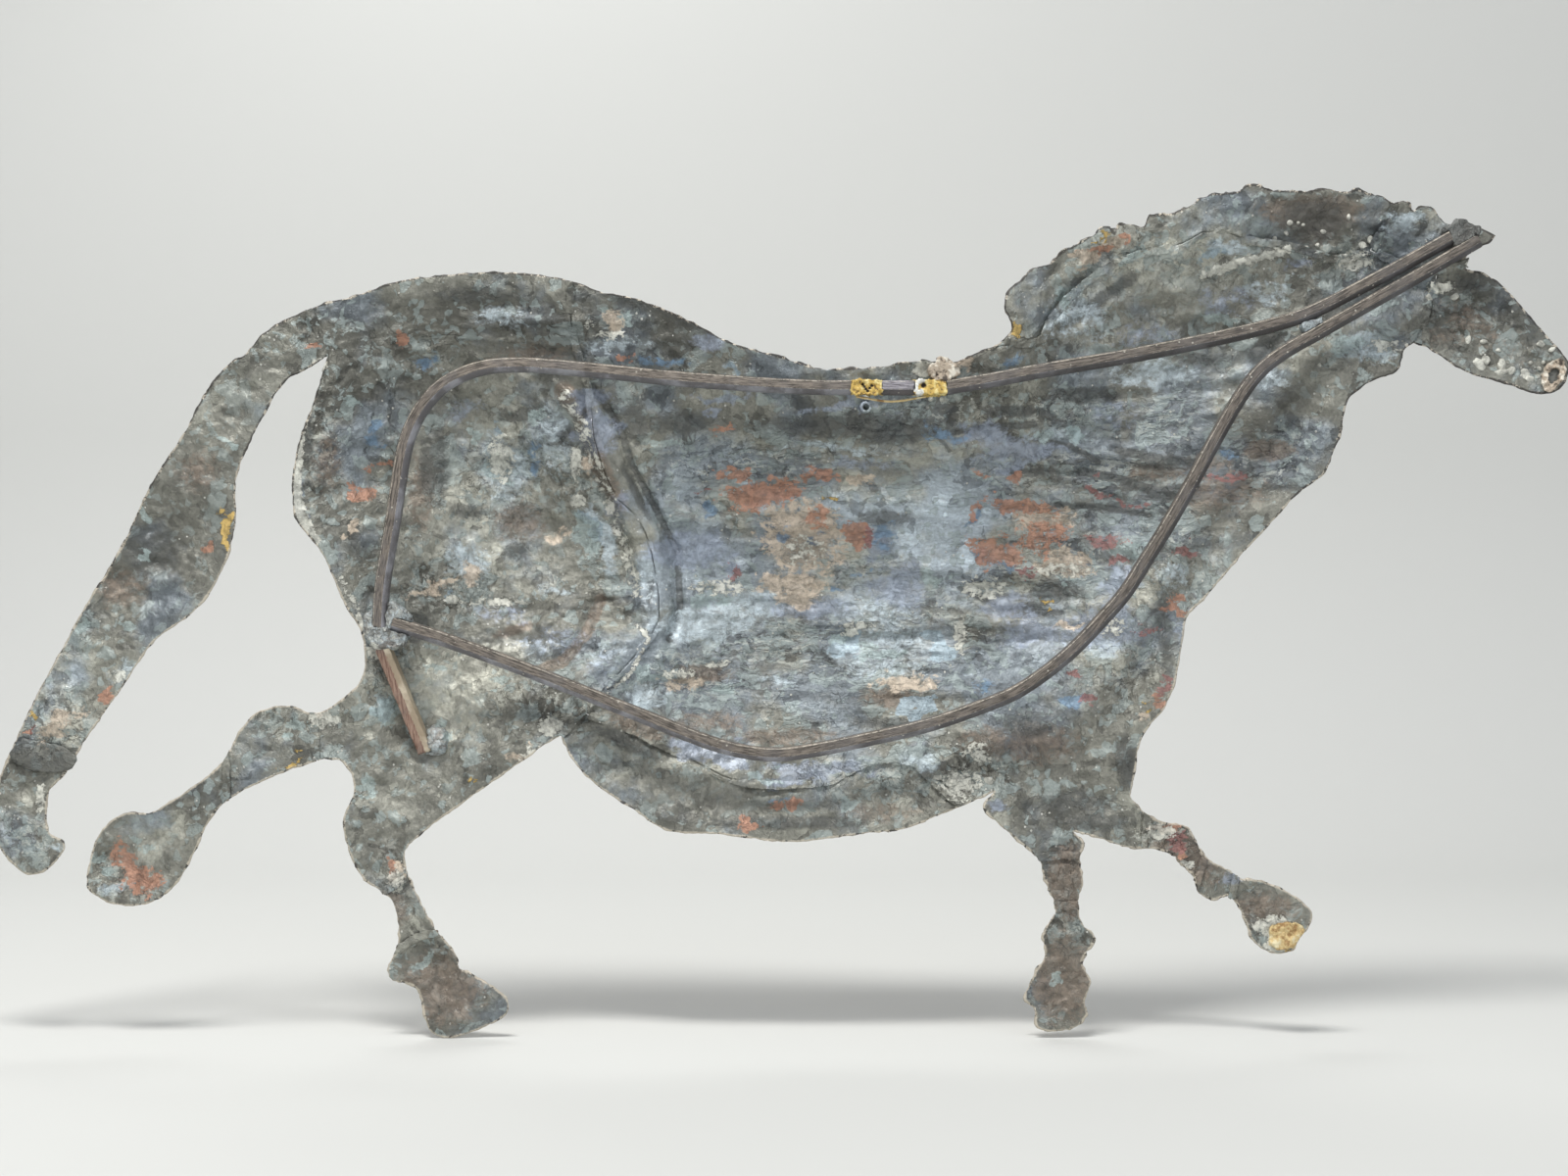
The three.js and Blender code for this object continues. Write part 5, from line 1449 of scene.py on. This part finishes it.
# %% Brass
def brass_paint(name, hollows, plain, bright):
    """Brass, with white flux, and black painted shade in cracks and holes, where a piece is marked for them.
    """
    made, tree, surface = new_material(name, plain)
    places = object_places(tree)
    tone = cloudy(tree, places, 150, 6, 0.65)
    fine = cloudy(tree, places, 620, 5, 0.7)
    colour = mix_colour(tree, ramp_between(tree, tone, 0.38, 0.48), hollows, plain)
    colour = mix_colour(tree, ramp_between(tree, tone, 0.51, 0.6), colour, bright)
    colour = lay_over(tree, colour, ramp_between(tree, fine, 0.6, 0.7), 0.5, rgb(86, 66, 48))
    loose = times(tree, minus(tree, fine, 0.5), 0.8)
    white = ramp_between(tree, plus(tree, mask(tree, "white"), loose), 0.3, 0.5)
    # Painted shade: the crack and the hole of the brazes are painted near black.
    hole_shade = ramp_between(tree, plus(tree, mask(tree, "hole_shade"), loose), 0.3, 0.6)
    colour = mix_colour(tree, white, colour, rgb(226, 226, 220))
    fill_in(tree, surface, {
        "Base Color": mix_colour(tree, hole_shade, colour, rgb(52, 44, 38)),
        "Roughness": mix_value(tree, tone, 0.55, 0.3), "Metallic": 0.3,
        "Normal": bumps(tree, plus(tree, tone, fine), 0.8, 0.001)})
    return made


brass_metal = brass_paint("brass", rgb(104, 84, 56), rgb(204, 172, 92), rgb(236, 218, 152))
pale_brass = brass_paint("pale_brass", rgb(164, 130, 84), rgb(214, 190, 138), rgb(232, 220, 182))
flux_crust = brass_paint("flux_crust", rgb(84, 76, 68), rgb(180, 166, 148), rgb(218, 212, 198))
print("made", brass_metal.name, pale_brass.name, flux_crust.name)

# %% Lumps from CAD nodes
WRINKLE = 0.45
WRINKLE_SIZE = 0.35
OTHER_NOISE = Vector((3, 5, 7))


def lumpy(name, material, finest, push, size, rounding=3, sink=0.0, marks=None, reshape=None):
    """A rough piece from the CAD node of that name."""
    bm = bmesh.new()
    bm.from_mesh(nodes[name].data)
    bmesh.ops.remove_doubles(bm, verts=bm.verts, dist=SAME_SPOT)
    if reshape:
        bmesh.ops.transform(bm, matrix=reshape, verts=bm.verts)
    bmesh.ops.recalc_face_normals(bm, faces=bm.faces)
    split_long(bm, finest)
    even_out(bm, rounding)
    bm.normal_update()
    for vert in bm.verts:
        lump = noise.noise(vert.co / size)
        wrinkle = noise.noise(vert.co / (size * WRINKLE_SIZE) + OTHER_NOISE)
        vert.co += vert.normal * (push * (lump + WRINKLE * wrinkle) - sink)
        vert.co.y = min(vert.co.y, 0)
    piece = mesh_object(name + "_rough", bm, material)
    lay_marks(piece, marks)
    lay_attribute(piece.data, "rim", [0.0] * len(piece.data.vertices))
    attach(piece, "root")
    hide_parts(name)
    return piece


BEADS = [
    "tail_root_braze", "haunch_bead", "belly_bead", "far_hind_root_bead", "far_hock_bead", "near_cannon_bead",
    "near_hoof_bead", "mane_bead", "mane_lock_bead", "forelock_bead", "head_bead", "standing_knee_bead",
    "standing_shin_bead", "raised_shin_bead", "raised_fetlock_bead",
    "raised_pastern_bead", "raised_hoof_bead",
]
for name in BEADS:
    lumpy(name, sheet_rear, finest=0.0018, push=0.0009, size=0.006, sink=0.0006)
print(len(BEADS), "beads")

# %% Weld lumps, patches and brass
WELDS = {
    "hip_weld": {"crust": 0.9, "pale": 0.3}, "stub_foot_weld": {"crust": 0.8, "pale": 0.4},
    "neck_weld": {"crust": 0.8, "pale": 0.6}, "head_weld": {"crust": 0.5, "dark": 1.0},
}
for name, marks in WELDS.items():
    lumpy(name, weld_rear, finest=0.0014, push=0.0018, size=0.006,
          rounding=2, sink=-0.0004, marks=marks)
lumpy("withers_weld", flux_crust, finest=0.0012, push=0.0032, size=0.005,
      rounding=1, sink=-0.0006)
rim_places = [vert.co for vert in nodes["muzzle_rim"].data.vertices]
ring_centre = sum(rim_places, Vector()) / len(rim_places)
lean = Matrix.Rotation(math.radians(-28), 4, "Y")
oval = Matrix.Translation(ring_centre) @ lean @ Matrix.Diagonal((0.8, 1, 1.3, 1)) @ lean.inverted()
lumpy("muzzle_rim", flux_crust, finest=0.0010, push=0.0013, size=0.003,
      rounding=1, reshape=oval @ Matrix.Translation(-ring_centre))
lumpy("sheet_ring", weld_rear, finest=0.0009, push=0.0003, size=0.003,
      rounding=0, marks={"pale": 0.7})
lumpy("tail_patch", sheet_rear, finest=0.0022, push=0.0009, size=0.009, marks={"dark": 0.6})
lumpy("hoof_patch", pale_brass, finest=0.0014, push=0.0012, size=0.004)
rear_braze = lumpy("splice_braze_rear", brass_metal, finest=0.0009, push=0.0018, size=0.0035,
                   rounding=2)
front_braze = lumpy("splice_braze_front", brass_metal, finest=0.0009, push=0.0018, size=0.0035,
                    rounding=2, sink=-0.0004)
lumpy("tie_wire", pale_brass, finest=0.0008, push=0.0002, size=0.004, rounding=1, sink=0.0002)
print("the brazes have", len(rear_braze.data.polygons), "and", len(front_braze.data.polygons), "faces")

# %% [markdown]
# The two brazes at the splice have a crack and a hole, painted near black as shade and sunk towards
# the sheet, and the front one has white flux round its hole. These marks lie near short lines of places.

# %% Painted shade in the crack and the hole, and white flux on the brazes
def mark_near(piece, label, line, reach, depth=0.0):
    """Marks a piece near a line of pixel places, and sinks it there towards the sheet."""
    places = [place(*at) for at in line]
    amounts = []
    for vert in piece.data.vertices:
        gap = min(Vector((vert.co.x - spot.x, vert.co.z - spot.z)).length for spot in places)
        near = max(0.0, 1 - gap / reach)
        vert.co.y -= depth * near if vert.co.y > -0.004 else 0
        amounts.append(near)
    lay_attribute(piece.data, label, amounts)


mark_near(rear_braze, "hole_shade", [
    (880, 393), (881.5, 395.5), (883, 398), (885, 400), (887, 397), (889, 394.5)], 0.0018, 0.0022)
mark_near(front_braze, "hole_shade", [(941.5, 394)], 0.0032, 0.003)
mark_near(front_braze, "white", [
    (937, 390), (933.5, 394), (933.5, 398), (937, 402), (940, 389), (939, 401)], 0.0034)
print("scorched", rear_braze.name, "and", front_braze.name)

# %% [markdown]
# The stub bar keeps the straight shape of its CAD node. Only its paint needs to know where it is
# worn and takes a painted highlight, and how far along and across the bar each vertex lies.

# %% The stub bar
stub = lumpy("stub_bar", stub_metal, finest=0.0025, push=0.0002, size=0.008, rounding=0)
stub_top, stub_foot = place(391, 659), place(431, 768)
run = (stub_foot - stub_top).normalized()
aside = Vector((-run.z, 0, run.x))
spots = [vert.co - stub_top for vert in stub.data.vertices]
sideways = [spot.dot(aside) for spot in spots]
middle_line = sum(sideways) / len(sideways)
lay_attribute(stub.data, "along", [spot.dot(run) for spot in spots])
lay_attribute(stub.data, "across", [off + spot.y for off, spot in zip(sideways, spots)])
# One half of the stub takes the side colours: the painted light and shade of its second face.
lay_attribute(stub.data, "side", [min(1, max(0, (middle_line - off) / 0.0012)) for off in sideways])
lay_attribute(stub.data, "wear_and_glint", [0.75 if 0.3 < vert.normal.y < 0.85 else 0.0 for vert in stub.data.vertices])
print(f"stub bar {(stub_foot - stub_top).length * 1000:.0f} mm from weld to weld")

# %% [markdown]
# ### Drops
# Drops of flux and braze metal spattered on the sheet, most of them at the muzzle. They lie on the
# relief where the photograph shows them, and the CAD has none of them.

# %% Drops of flux on the sheet
# across, down, reach across and down in pixels, turn
DROPS = [
    (1512, 371, 7, 4, -50), (1519, 366, 4, 4, 0), (1536, 372, 4, 7, 0), (1534, 379, 7, 3, 10),
    (1545, 377, 4, 4, 40), (1559, 381, 4, 6, 20), (1563, 386, 4, 3, 0), (1517, 347, 4, 2, 0),
    (1501, 346, 2.5, 4, -20), (1575, 350, 4, 3, 0), (1585, 356, 4, 2, 30), (1565, 369, 1.8, 1.6, 0),
    (1573, 375, 2, 2, 0), (1577, 369, 1.6, 1.6, 0), (1532, 356, 3, 2, 0), (1320, 224, 3, 3, 0),
    (1329, 224, 1.6, 1.6, 0), (1334, 226, 1.8, 1.6, 0), (1317, 234, 2, 3, 30), (1306, 239, 2.4, 2, 0),
    (1340, 249, 2.5, 2.5, 0), (1350, 246, 2, 2, 0), (1396, 247, 5, 3, -30), (1403, 241, 4, 3, -60),
    (1388, 255, 3, 3, 0), (1380, 262, 3, 2, 0), (1379, 219, 2, 3, 0), (1355, 233, 3, 2, 0),
    (453, 612, 6, 4, 0), (506, 462, 5, 3, 30), (384, 664, 5, 4, 20), (866, 640, 3, 2, 0),
    (1478, 290, 6, 3, -30), (1466, 301, 5, 3, -40), (1490, 300, 4, 3, 20), (1010, 798, 5, 4, 0),
    (972, 800, 6, 4, 20), (958, 795, 4, 3, 0), (1301, 371, 2, 2, 0), (1350, 371, 2, 2, 0),
    (884, 403, 3, 3, 0), (951, 405, 2.5, 2.5, 0), (963, 406, 2.5, 2, 0),
]
flux = bmesh.new()
for across, down, reach_across, reach_down, turn in DROPS:
    spot = place(across, down)
    spot.y = float(read_map(sheet_level, np.array([spot.x]), np.array([spot.z]))[0])
    size = Matrix.Diagonal((reach_across * ACROSS, 0.0012, reach_down * DOWN, 1))
    frame_of_drop = Matrix.Translation(spot) @ Matrix.Rotation(math.radians(turn), 4, "Y") @ size
    made = bmesh.ops.create_icosphere(flux, subdivisions=3, radius=1, matrix=frame_of_drop)["verts"]
    for vert in made:
        vert.co += (vert.co - spot) * (0.35 * noise.noise(vert.co / 0.0022) + 0.1)
        vert.co.y = min(vert.co.y, 0)
drops = mesh_object("flux_drops", flux, weld_rear)
lay_marks(drops, {"cream": 1.6})
lay_attribute(drops.data, "rim", [0.0] * len(drops.data.vertices))
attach(drops, "root")
print(len(DROPS), "drops")
